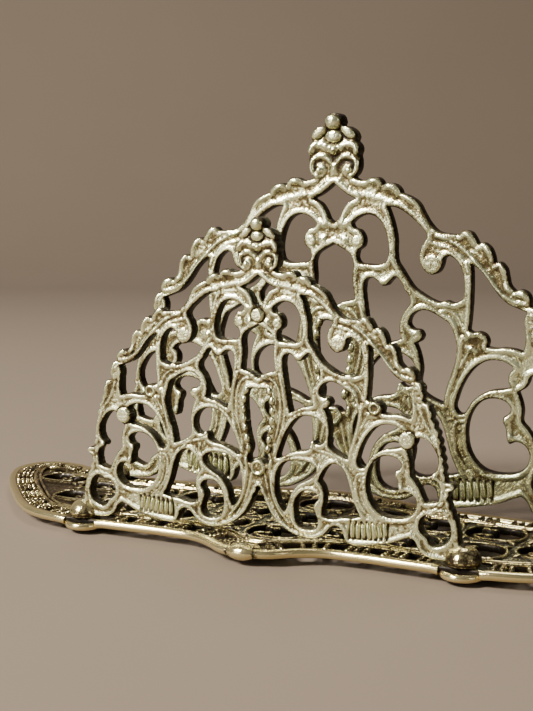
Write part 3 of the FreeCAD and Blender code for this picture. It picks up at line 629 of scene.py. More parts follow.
    def shell(self) -> tuple[np.ndarray, np.ndarray]:
        """Turn the sheet into a closed triangle shell.

        Returns:
            Vertices as rows of (u, v, height) and triangles as rows of indices.
        """
        rows, cols = self.edge.shape
        value = self.edge.ravel()
        solid = value > 0
        where = np.stack([self.u.ravel(), self.v.ravel()], 1)
        index = np.full(rows * cols, -1)
        index[solid] = np.arange(int(solid.sum()))
        positions = [where[solid]]
        heights = [self.front.ravel()[solid]]
        depths = [self.back.ravel()[solid]]
        count = int(solid.sum())
        grid = np.arange(rows * cols).reshape(rows, cols)
        crossings = {}
        pairs = {"along": (grid[:, :-1], grid[:, 1:]), "up": (grid[:-1], grid[1:]),
                 "slant": (grid[:-1, :-1], grid[1:, 1:])}
        for name, (first, second) in pairs.items():
            a, b = first.ravel(), second.ravel()
            cut = solid[a] != solid[b]
            a, b = a[cut], b[cut]
            t = np.clip(value[a] / (value[a] - value[b]), 0.1, 0.9)[:, None]
            positions.append(where[a] * (1 - t) + where[b] * t)
            outer = np.where(solid[a], b, a)
            heights.append(self.front.ravel()[outer])
            depths.append(self.back.ravel()[outer])
            table = np.full(rows * cols, -1)
            table[a] = count + np.arange(len(a))
            crossings[name] = table
            count += len(a)
        cell = grid[:-1, :-1].ravel()
        right, over, far = cell + 1, cell + cols, cell + cols + 1
        triangles, rims = [], []
        along, up, slant = (crossings[name] for name in pairs)
        lower = (cell, right, far, along[cell], up[right], slant[cell])
        upper = (cell, far, over, slant[cell], along[over], up[cell])
        for a, b, c, ab, bc, ca in (lower, upper):
            mask = solid[a] + 2 * solid[b] + 4 * solid[c]
            va, vb, vc = index[a], index[b], index[c]
            cases = {7: [(va, vb, vc)], 1: [(va, ab, ca)], 2: [(vb, bc, ab)], 4: [(vc, ca, bc)],
                     3: [(va, vb, bc), (va, bc, ca)], 6: [(vb, vc, ca), (vb, ca, ab)],
                     5: [(vc, va, ab), (vc, ab, bc)]}
            borders = {1: (ab, ca), 2: (bc, ab), 4: (ca, bc), 3: (bc, ca), 6: (ca, ab), 5: (ab, bc)}
            for case, faces in cases.items():
                chosen = mask == case
                triangles += [np.stack([corner[chosen] for corner in face], 1) for face in faces]
                if case in borders:
                    rims.append(np.stack([end[chosen] for end in borders[case]], 1))
        place = np.vstack(positions)
        top = np.concatenate(heights)
        low = -np.concatenate(depths)
        face = np.vstack(triangles)
        rim = np.vstack(rims)
        edge_ids = np.unique(rim)
        slot = np.full(count, -1)
        slot[edge_ids] = np.arange(len(edge_ids))
        mids = []
        for share in self.WALL_RINGS:
            level = top[edge_ids] * (1 - share) + low[edge_ids] * share
            mids.append(np.column_stack([place[edge_ids], level]))
        vertices = np.vstack([np.column_stack([place, top]), np.column_stack([place, low])] + mids)
        every, middle = np.arange(count), 2 * count + slot
        rings = [every, middle, middle + len(edge_ids), count + every]
        walls = []
        for upper_ring, lower_ring in zip(rings, rings[1:]):
            fu, fv = upper_ring[rim[:, 0]], upper_ring[rim[:, 1]]
            bu, bv = lower_ring[rim[:, 0]], lower_ring[rim[:, 1]]
            walls += [np.stack([fu, bu, bv], 1), np.stack([fu, bv, fv], 1)]
        faces = np.vstack([face, face[:, ::-1] + count] + walls)
        return vertices, faces


def put(name: str, data: bpy.types.ID) -> bpy.types.Object:
    """Put a mesh, light or camera into the scene as an object.

    Args:
        name: name of the object.
        data: what it shows.

    Returns:
        The new object.
    """
    piece = bpy.data.objects.new(name, data)
    bpy.context.scene.collection.objects.link(piece)
    return piece


def mesh_object(name: str, vertices: np.ndarray, faces: np.ndarray) -> bpy.types.Object:
    """Make a smooth-shaded mesh object from arrays.

    Args:
        name: name of the object.
        vertices: rows of (x, y, z).
        faces: rows of vertex numbers, all of one length.

    Returns:
        The new object.
    """
    mesh = bpy.data.meshes.new(name)
    mesh.vertices.add(len(vertices))
    mesh.vertices.foreach_set("co", np.ascontiguousarray(vertices, np.float32).ravel())
    mesh.loops.add(faces.size)
    mesh.loops.foreach_set("vertex_index", np.ascontiguousarray(faces, np.int32).ravel())
    mesh.polygons.add(len(faces))
    mesh.polygons.foreach_set("loop_start", np.arange(0, faces.size, faces.shape[1], dtype=np.int32))
    mesh.update(calc_edges=True)
    mesh.validate()
    mesh.shade_smooth()
    return put(name, mesh)


def settle(piece: bpy.types.Object) -> None:
    """Replace a piece's mesh by its evaluated one and drop its modifiers.

    Args:
        piece: the object.
    """
    graph = bpy.context.evaluated_depsgraph_get()
    mesh = bpy.data.meshes.new_from_object(piece.evaluated_get(graph))
    old = piece.data
    piece.modifiers.clear()
    piece.data = mesh
    mesh.name = piece.name
    if isinstance(old, bpy.types.Mesh):
        bpy.data.meshes.remove(old)


def thin_out(piece: bpy.types.Object, most: int) -> None:
    """Reduce a mesh to at most a number of triangles, where it is flattest.

    Args:
        piece: the object.
        most: largest number of triangles.
    """
    count = len(piece.data.polygons)
    if count <= most:
        return
    modifier = piece.modifiers.new("thin", "DECIMATE")
    modifier.ratio = most / count
    settle(piece)
    piece.data.shade_smooth()


def paint(piece: bpy.types.Object, name: str, values: np.ndarray) -> None:
    """Store one number for every vertex for the finish to read."""
    attribute = piece.data.attributes.new(name, "FLOAT", "POINT")
    attribute.data.foreach_set("value", np.ascontiguousarray(values, np.float32))


def points_of(piece: bpy.types.Object) -> np.ndarray:
    """Vertex places of a mesh object.

    Args:
        piece: the object.

    Returns:
        Rows of (x, y, z).
    """
    out = np.empty(len(piece.data.vertices) * 3, np.float32)
    piece.data.vertices.foreach_get("co", out)
    return out.reshape(-1, 3).astype(float)


def move_points(piece: bpy.types.Object, places: np.ndarray) -> None:
    """Set the vertex places of a mesh object."""
    piece.data.vertices.foreach_set("co", places.astype(np.float32).ravel())
    piece.data.update()


def cast_piece(name: str, relief: Relief, most: int,
               wall: float) -> tuple[bpy.types.Object, np.ndarray, np.ndarray]:
    """Turn a relief into a mesh and tell its outer walls from its faces.

    Args:
        name: name of the piece.
        relief: the relief.
        most: largest number of triangles.
        wall: distance from the edge within which a point lies on a wall.

    Returns:
        The piece, its points on the sheet, and which of them lie on a wall.
    """
    piece = mesh_object(name, *relief.shell())
    thin_out(piece, most)
    points = points_of(piece)
    return piece, points, relief.lookup(relief.edge, points) < wall


def mark_patina_shade(piece: bpy.types.Object, on_wall: np.ndarray, wall_shade_mark: float, marks: np.ndarray) -> None:
    """Store how deep every point lies, and which points lie on an outer wall; walls get a deep mark as
    painted shade.
    """
    paint(piece, "hollow", np.where(on_wall, wall_shade_mark, marks))
    paint(piece, "flank", np.where(on_wall, 1.0, 0.0))


def lathe(profile: Run, segments: int = 48) -> tuple[np.ndarray, np.ndarray]:
    """Turn a profile of (radius, height) about the upright axis.

    Args:
        profile: points from the bottom of the axis, round the outside, to its top.
        segments: number of steps round.

    Returns:
        Vertices in millimetres and quads, with poles as narrow quads.
    """
    turns = np.linspace(0, 2 * math.pi, segments, endpoint=False)
    rows = []
    for radius, height in profile:
        reach = max(radius, POLE)
        rows.append(np.column_stack([reach * np.cos(turns), reach * np.sin(turns),
                                     np.full(segments, height)]))
    vertices = np.vstack(rows)
    faces = []
    for k in range(len(profile) - 1):
        low, high = k * segments, (k + 1) * segments
        for i in range(segments):
            j = (i + 1) % segments
            faces.append((low + i, low + j, high + j, high + i))
    first = tuple(range(segments))[::-1]
    last = tuple((len(profile) - 1) * segments + i for i in range(segments))
    triangles = [(a, b, c) for a, b, c, _ in faces] + [(a, c, d) for a, _, c, d in faces]
    for cap in (first, last):
        triangles += [(cap[0], cap[i], cap[i + 1]) for i in range(1, segments - 1)]
    return vertices, np.array(triangles)


def wire_node(tree: bpy.types.NodeTree, kind: str, feeds: dict,
              **settings: object) -> bpy.types.Node:
    """Add a node with its settings, values and links.

    Args:
        tree: the node tree it goes into.
        kind: the node's type.
        feeds: by input name or number, a socket to link or a value to set.
        settings: properties of the node.

    Returns:
        The new node.
    """
    node = tree.nodes.new(kind)
    for key, value in settings.items():
        setattr(node, key, value)
    for key, value in feeds.items():
        if isinstance(value, bpy.types.NodeSocket):
            tree.links.new(value, node.inputs[key])
        else:
            node.inputs[key].default_value = value
    return node


def wire_math(tree: bpy.types.NodeTree, operation: str, *values: object,
              clamp: bool = False) -> bpy.types.NodeSocket:
    """Add a math node and return its result.

    Args:
        tree: the node tree it goes into.
        operation: the node's operation.
        values: sockets or numbers, in the order of its inputs.
        clamp: whether the result is kept between 0 and 1.

    Returns:
        The output socket.
    """
    node = wire_node(tree, "ShaderNodeMath", dict(enumerate(values)), operation=operation, use_clamp=clamp)
    return node.outputs[0]


def wire_range(tree: bpy.types.NodeTree, value: bpy.types.NodeSocket, given: Point, wanted: Point,
               smooth: bool = False) -> bpy.types.NodeSocket:
    """Add a node that maps one range of values onto another.

    Args:
        tree: the node tree it goes into.
        value: the value to map.
        given: range that the value comes in.
        wanted: range that it is mapped to.
        smooth: whether both ends are eased.

    Returns:
        The output socket.
    """
    node = wire_node(tree, "ShaderNodeMapRange",
                     {"Value": value, "From Min": given[0], "From Max": given[1],
                      "To Min": wanted[0], "To Max": wanted[1]},
                     interpolation_type="SMOOTHSTEP" if smooth else "LINEAR")
    return node.outputs[0]


class NodeSketch:
    """One geometry node tree, built step by step, that ends as real mesh."""

    def __init__(self, name: str, inputs: dict[str, str]) -> None:
        """Start a tree with named inputs beside its geometry.

        Args:
            name: the tree's name.
            inputs: socket kind by input name, such as Float or Object.
        """
        self.tree = bpy.data.node_groups.new(name, "GeometryNodeTree")
        self.socket("Geometry", "Geometry", "INPUT")
        for label, kind in {**inputs, "Material": "Material"}.items():
            self.socket(label, kind, "INPUT")
        self.socket("Geometry", "Geometry", "OUTPUT")
        self.given = self.tree.nodes.new("NodeGroupInput").outputs

    def socket(self, label: str, kind: str, side: str) -> None:
        """Add one socket to the tree's own interface."""
        self.tree.interface.new_socket(label, in_out=side, socket_type="NodeSocket" + kind)

    def add(self, kind: str, feeds: dict, **settings: object) -> bpy.types.Node:
        """Add a node to the tree; see wire_node."""
        return wire_node(self.tree, kind, feeds, **settings)

    def close(self, geometry: bpy.types.NodeSocket) -> bpy.types.NodeTree:
        """Realize the instances, set the material and finish the tree.

        Args:
            geometry: what the tree has made.

        Returns:
            The finished tree.
        """
        real = self.add("GeometryNodeRealizeInstances", {"Geometry": geometry})
        smooth = self.add("GeometryNodeSetShadeSmooth", {"Geometry": real.outputs[0]})
        dressed = self.add("GeometryNodeSetMaterial",
                           {"Geometry": smooth.outputs[0], "Material": self.given["Material"]})
        self.add("NodeGroupOutput", {0: dressed.outputs[0]})
        return self.tree


def sweep_tree() -> bpy.types.NodeTree:
    """Tree that sweeps a closed profile along the given edges.

    Returns:
        The finished tree.
    """
    sketch = NodeSketch("sweep_profile", {"Profile": "Object", "Size": "Float"})
    path = sketch.add("GeometryNodeMeshToCurve", {"Mesh": sketch.given["Geometry"]})
    level = sketch.add("GeometryNodeSetCurveNormal", {"Curve": path.outputs[0]}, mode="Z_UP")
    section = sketch.add("GeometryNodeObjectInfo", {"Object": sketch.given["Profile"]})
    sized = sketch.add("GeometryNodeTransform",
                       {"Geometry": section.outputs["Geometry"], "Scale": sketch.given["Size"]})
    outline = sketch.add("GeometryNodeMeshToCurve", {"Mesh": sized.outputs[0]})
    swept = sketch.add("GeometryNodeCurveToMesh",
                       {"Curve": level.outputs[0], "Profile Curve": outline.outputs[0], "Fill Caps": True})
    return sketch.close(swept.outputs["Mesh"])


def repeat_tree() -> bpy.types.NodeTree:
    """Tree that sets copies of an item along the given edges, turned to follow them.

    Returns:
        The finished tree.
    """
    sketch = NodeSketch("repeat_along",
                        {"Item": "Object", "Spacing": "Float", "Scatter": "Float", "Seed": "Int"})
    path = sketch.add("GeometryNodeMeshToCurve", {"Mesh": sketch.given["Geometry"]})
    points = sketch.add("GeometryNodeCurveToPoints",
                        {"Curve": path.outputs[0], "Length": sketch.given["Spacing"]}, mode="LENGTH")
    turn = sketch.add("FunctionNodeAlignRotationToVector",
                      {"Vector": points.outputs["Tangent"]}, axis="X")
    least = wire_math(sketch.tree, "SUBTRACT", 1.0, sketch.given["Scatter"])
    most = wire_math(sketch.tree, "ADD", 1.0, sketch.given["Scatter"])
    size = sketch.add("FunctionNodeRandomValue", {2: least, 3: most, "Seed": sketch.given["Seed"]})
    item = sketch.add("GeometryNodeObjectInfo", {"Object": sketch.given["Item"]})
    copies = sketch.add("GeometryNodeInstanceOnPoints",
                        {"Points": points.outputs["Points"], "Instance": item.outputs["Geometry"],
                         "Rotation": turn.outputs[0], "Scale": size.outputs[1]})
    return sketch.close(copies.outputs[0])


def place_tree() -> bpy.types.NodeTree:
    """Tree that sets one copy of an item on every given point.

    Returns:
        The finished tree.
    """
    sketch = NodeSketch("place_on_points", {"Item": "Object"})
    points = sketch.add("GeometryNodeMeshToPoints", {"Mesh": sketch.given["Geometry"]})
    item = sketch.add("GeometryNodeObjectInfo", {"Object": sketch.given["Item"]})
    copies = sketch.add("GeometryNodeInstanceOnPoints",
                        {"Points": points.outputs[0], "Instance": item.outputs["Geometry"]})
    return sketch.close(copies.outputs[0])


def wire_object(name: str, lines: list[np.ndarray]) -> bpy.types.Object:
    """Make a mesh of points and edges that a tree can follow.

    Args:
        name: name of the object.
        lines: rows of (x, y, z); a line that ends where it starts is closed.

    Returns:
        The new object.
    """
    vertices, edges = [], []
    for line in lines:
        start = len(vertices)
        closed = len(line) > 2 and np.allclose(line[0], line[-1])
        kept = line[:-1] if closed else line
        vertices += [tuple(row) for row in kept]
        edges += [(start + i, start + i + 1) for i in range(len(kept) - 1)]
        if closed:
            edges.append((start + len(kept) - 1, start))
    mesh = bpy.data.meshes.new(name)
    mesh.from_pydata(vertices, edges, [])
    return put(name, mesh)


def grow(seed: bpy.types.Object, tree: bpy.types.NodeTree, values: dict[str, object]) -> bpy.types.Object:
    """Run a tree on an object and keep only the mesh that it makes.

    Args:
        seed: object whose points or edges the tree follows.
        tree: the geometry node tree.
        values: input values by name; item objects among them are used up.

    Returns:
        The same object with a plain mesh.
    """
    modifier = seed.modifiers.new(tree.name, "NODES")
    modifier.node_group = tree
    for item in tree.interface.items_tree:
        if item.in_out == "INPUT" and item.name in values:
            modifier[item.identifier] = values[item.name]
    settle(seed)
    for value in values.values():
        if isinstance(value, bpy.types.Object):
            bpy.data.objects.remove(value)
    return seed


class ShaderGroup:
    """One shared effect as a shader node group."""

    def __init__(self, name: str, inputs: dict[str, float], outputs: list[str]) -> None:
        """Start a group with float inputs and outputs.

        Args:
            name: the group's name.
            inputs: starting value by input name.
            outputs: names of the outputs.
        """
        self.tree = bpy.data.node_groups.new(name, "ShaderNodeTree")
        for label, value in inputs.items():
            self.socket(label, "INPUT").default_value = value
        for label in outputs:
            self.socket(label, "OUTPUT")
        self.given = self.tree.nodes.new("NodeGroupInput").outputs
        self.result = self.tree.nodes.new("NodeGroupOutput").inputs

    def socket(self, label: str, side: str) -> bpy.types.NodeTreeInterfaceSocket:
        """Add one number to the group's own interface."""
        return self.tree.interface.new_socket(label, in_out=side, socket_type="NodeSocketFloat")

    def add(self, kind: str, feeds: dict, **settings: object) -> bpy.types.Node:
        """Add a node to the group; see wire_node."""
        return wire_node(self.tree, kind, feeds, **settings)

    def give(self, label: str, socket: bpy.types.NodeSocket) -> None:
        """Send a value to one output of the group."""
        self.tree.links.new(socket, self.result[label])


def mottle_group() -> bpy.types.NodeTree:
    """Cloudy tarnish, casting grain and pits of old brass, in millimetre sizes.

    Returns:
        The finished group.
    """
    group = ShaderGroup("brass_mottle", {"Patch": 5.0, "Grain": 0.5}, ["Cloud", "Grain", "Pits", "Height"])
    place = group.add("ShaderNodeTexCoord", {}).outputs["Object"]
    per_mm = group.add("ShaderNodeVectorMath", {0: place, "Scale": 1 / MM}, operation="SCALE").outputs[0]
    waves = {}
    for label, source, detail in (("Cloud", "Patch", 4.0), ("Grain", "Grain", 3.0)):
        rate = wire_math(group.tree, "DIVIDE", 1.0, group.given[source])
        noise = group.add("ShaderNodeTexNoise",
                          {"Vector": per_mm, "Scale": rate, "Detail": detail, "Roughness": 0.62})
        waves[label] = wire_range(group.tree, noise.outputs[0], (0.32, 0.68), (0.0, 1.0))
        group.give(label, waves[label])
    cells = group.add("ShaderNodeTexVoronoi", {"Vector": per_mm, "Scale": 1.7, "Randomness": 1.0})
    pits = wire_range(group.tree, cells.outputs["Distance"], (0.05, 0.32), (1.0, 0.0))
    gated = wire_math(group.tree, "MULTIPLY", pits, waves["Cloud"])
    group.give("Pits", gated)
    group.give("Height", wire_math(group.tree, "MULTIPLY_ADD", gated, -0.6, waves["Grain"]))
    return group.tree


def patina_shade_group() -> bpy.types.NodeTree:
    """How much dark patina lies at a place, from its depth and the tarnish clouds; the outer walls also get
    it as painted shade.

    Returns:
        The finished group.
    """
    group = ShaderGroup("brass_grime", {"Cloud": 0.5, "Amount": 1.0, "Flank Amount": 0.8},
                        ["Mask", "Crest"])
    hollow = group.add("ShaderNodeAttribute", {}, attribute_name="hollow").outputs["Fac"]
    flank = group.add("ShaderNodeAttribute", {}, attribute_name="flank").outputs["Fac"]
    centred = wire_math(group.tree, "SUBTRACT", group.given["Cloud"], 0.5)
    depth = wire_math(group.tree, "MULTIPLY_ADD", centred, 0.7, hollow)
    deep = wire_range(group.tree, depth, (0.5, 0.9), (0.0, 1.0), smooth=True)
    laid = wire_math(group.tree, "MULTIPLY", deep, group.given["Amount"])
    # The outer walls take the dark patina colour as painted shade as well as patina.
    worn = wire_math(group.tree, "MULTIPLY_ADD", centred, 0.35, group.given["Flank Amount"])
    side = wire_math(group.tree, "MULTIPLY", flank, worn)
    group.give("Mask", wire_math(group.tree, "MAXIMUM", laid, side, clamp=True))
    group.give("Crest", wire_range(group.tree, depth, (0.58, 0.36), (0.0, 1.0), smooth=True))
    return group.tree


@dataclass(frozen=True)
class BrassFinish:
    """One state of old cast brass: its colours, gloss and roughness."""

    name: str
    crest: Triple
    body: Triple
    tarnish: Triple
    patina: Triple
    metallic: float = 0.9
    gloss: float = 0.3
    dull: float = 0.5
    patina_shade: float = 1.0
    flank: float = 0.8
    patch: float = 5.0
    grain: float = 0.5
    relief: float = 0.00006
    pit_share: float = 0.45
    glint: float = 0.5
    patina_shade_dull: float = 0.25
    patina_shade_metallic: float = 0.3
    patina_shade_glint: float = 0.14

    def build(self, mottle: bpy.types.NodeTree, patina_shade: bpy.types.NodeTree) -> bpy.types.Material:
        """Make the material from the shared effects.

        Args:
            mottle: group that gives clouds, grain and pits.
            patina_shade: group that gives the mask of patina and painted shade.

        Returns:
            The material.
        """
        material = bpy.data.materials.new(self.name)
        material.use_nodes = True
        tree = material.node_tree
        shader = tree.nodes["Principled BSDF"]
        marks = wire_node(tree, "ShaderNodeGroup", {}, node_tree=mottle)
        marks.inputs["Patch"].default_value = self.patch
        marks.inputs["Grain"].default_value = self.grain
        dirt = wire_node(tree, "ShaderNodeGroup", {}, node_tree=patina_shade)
        fine = wire_math(tree, "MULTIPLY", marks.outputs["Grain"], 0.5)
        mixed = wire_math(tree, "MULTIPLY_ADD", marks.outputs["Cloud"], 0.5, fine)
        tree.links.new(mixed, dirt.inputs["Cloud"])
        dirt.inputs["Amount"].default_value = self.patina_shade
        dirt.inputs["Flank Amount"].default_value = self.flank
        mask = dirt.outputs["Mask"]
        cloudy = self.blend(tree, marks.outputs["Cloud"], self.body, self.tarnish)
        bright = self.blend(tree, dirt.outputs["Crest"], cloudy, self.crest)
        pitted = wire_math(tree, "MULTIPLY", marks.outputs["Pits"], self.pit_share)
        speckled = self.blend(tree, pitted, bright, self.patina)
        colour = self.blend(tree, mask, speckled, self.patina)
        rough = wire_range(tree, marks.outputs["Grain"], (0.0, 1.0), (self.gloss, self.dull))
        bump = wire_node(tree, "ShaderNodeBump",
                         {"Height": marks.outputs["Height"], "Distance": self.relief, "Strength": 1.0})
        results = {
            "Base Color": colour,
            "Roughness": wire_math(tree, "MULTIPLY_ADD", mask, self.patina_shade_dull, rough),
            "Metallic": wire_range(tree, mask, (0.0, 1.0), (self.metallic, self.patina_shade_metallic)),
            "Specular IOR Level": wire_range(tree, mask, (0.0, 1.0), (self.glint, self.patina_shade_glint)),
            "Normal": bump.outputs[0],
        }
        for label, socket in results.items():
            tree.links.new(socket, shader.inputs[label])
        return material

    @staticmethod
    def blend(tree: bpy.types.NodeTree, share: bpy.types.NodeSocket, low: object,
              high: object) -> bpy.types.NodeSocket:
        """Mix two colours, each a socket or three numbers.

        Args:
            tree: the node tree it goes into.
            share: how much of the second colour shows.
            low: first colour.
            high: second colour.

        Returns:
            The mixed colour.
        """
        feeds = {0: share}
        for index, colour in ((6, low), (7, high)):
            feeds[index] = colour if isinstance(colour, bpy.types.NodeSocket) else (*colour, 1.0)
        return wire_node(tree, "ShaderNodeMix", feeds, data_type="RGBA").outputs[2]


class Role(Enum):
    """The finish of each sub-assembly."""

    PANEL = "panel_brass"
    TRAY = "tray_brass"
    SCREW = "screw_brass"


FINISHES: dict[Role, BrassFinish] = {
    Role.PANEL: BrassFinish(
        "pale_aged_brass", (0.77, 0.78, 0.47), (0.27, 0.22, 0.092), (0.14, 0.10, 0.038),
        (0.012, 0.007, 0.003), gloss=0.12, dull=0.26, grain=0.7, relief=0.00004, flank=0.96),
    Role.TRAY: BrassFinish(
        # The tray's brass is darker than the panels': its darker patina plus painted shade, as the tray
        # lies low and in shade.
        "warm_aged_brass", (0.72, 0.60, 0.30), (0.085, 0.06, 0.024), (0.05, 0.034, 0.014),
        (0.008, 0.005, 0.002), gloss=0.08, dull=0.2, relief=0.000015, flank=0.96),
    Role.SCREW: BrassFinish(
        "dark_screw_brass", (0.26, 0.18, 0.09), (0.16, 0.10, 0.05), (0.09, 0.055, 0.028),
        (0.02, 0.013, 0.007), gloss=0.28, dull=0.5),
}


@dataclass
class Workshop:
    """Shared trees and finishes, and the last steps that every piece goes through."""

    sweep: bpy.types.NodeTree
    repeat: bpy.types.NodeTree
    place: bpy.types.NodeTree
    brass: dict[Role, bpy.types.Material]

    @classmethod
    def open(cls) -> "Workshop":
        """Build the shared trees, effects and finishes once.

        Returns:
            The workshop.
        """
        mottle, patina_shade = mottle_group(), patina_shade_group()
        brass = {role: finish.build(mottle, patina_shade) for role, finish in FINISHES.items()}
        return cls(sweep_tree(), repeat_tree(), place_tree(), brass)

    def sweep_along(self, name: str, lines: list[np.ndarray],
                    profile: bpy.types.Object) -> bpy.types.Object:
        """Sweep a closed profile along lines of the tray."""
        return grow(wire_object(name, lines), self.sweep,
                    {"Profile": profile, "Size": 1.0, "Material": self.brass[Role.TRAY]})

    def repeat_along(self, name: str, lines: list[np.ndarray], item: bpy.types.Object, spacing: float,
                     scatter: float, seed: int, role: Role) -> bpy.types.Object:
        """Set copies of an item along lines.

        Args:
            name: name of the piece.
            lines: rows of (x, y, z).
            item: the item, which is used up.
            spacing: distance between copies.
            scatter: how much their sizes vary.
            seed: seed of that variation.
            role: which finish they take.

        Returns:
            The piece with every copy.
        """
        return grow(wire_object(name, lines), self.repeat,
                    {"Item": item, "Spacing": spacing, "Scatter": scatter, "Seed": seed,
                     "Material": self.brass[role]})

    def place_on(self, name: str, places: list[np.ndarray], item: bpy.types.Object) -> bpy.types.Object:
        """Set one copy of an item on every place of the tray."""
        return grow(wire_object(name, places), self.place,
                    {"Item": item, "Material": self.brass[Role.TRAY]})

    def deliver(self, piece: bpy.types.Object, role: Role, nodes: tuple[str, ...] = ()) -> None:
        """Put a finished piece, made in millimetres, on the body with its finish.

        Args:
            piece: the piece, in the CAD's frame but in millimetres.
            role: which finish it takes.
            nodes: the CAD nodes that it stands for.
        """
        if len(nodes) == 0:
            close_up(piece)
        piece.data.transform(Matrix.Scale(MM, 4))
        piece.data.materials.clear()
        piece.data.materials.append(self.brass[role])
        piece.data.polygons.foreach_set("material_index", np.zeros(len(piece.data.polygons), np.int32))
        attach(piece, "root")
        if nodes:
            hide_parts(*nodes)
        log.info("%s: %d faces", piece.name, len(piece.data.polygons))


def close_up(piece: bpy.types.Object) -> None:
    """Merge the doubled points of poles and seams and turn every face outwards.

    Args:
        piece: the object.
    """
    mesh = bmesh.new()
    mesh.from_mesh(piece.data)
    bmesh.ops.remove_doubles(mesh, verts=mesh.verts, dist=MERGE)
    bmesh.ops.recalc_face_normals(mesh, faces=mesh.faces)
    mesh.to_mesh(piece.data)
    mesh.free()


def box_mm(node: str) -> tuple[np.ndarray, np.ndarray]:
    """Lowest and highest corner of a CAD node in millimetres."""
    low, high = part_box(node)
    return np.array(low) / MM, np.array(high) / MM


def lathe_item(name: str, profile: Run, segments: int, hollow_at: Run = ()) -> bpy.types.Object:
    """Make a turned item whose depth marking runs with its height.

    Args:
        name: name of the item.
        profile: points of (radius, height) from the bottom up.
        segments: steps round.
        hollow_at: pairs of height and depth marking, read between by blending.

    Returns:
        The item object in millimetres at the origin.
    """
    vertices, faces = lathe(profile, segments)
    item = mesh_object(name, vertices, faces)
    if hollow_at:
        marks = np.array(hollow_at)
        paint(item, "hollow", np.interp(points_of(item)[:, 2], marks[:, 0], marks[:, 1]))
    return item


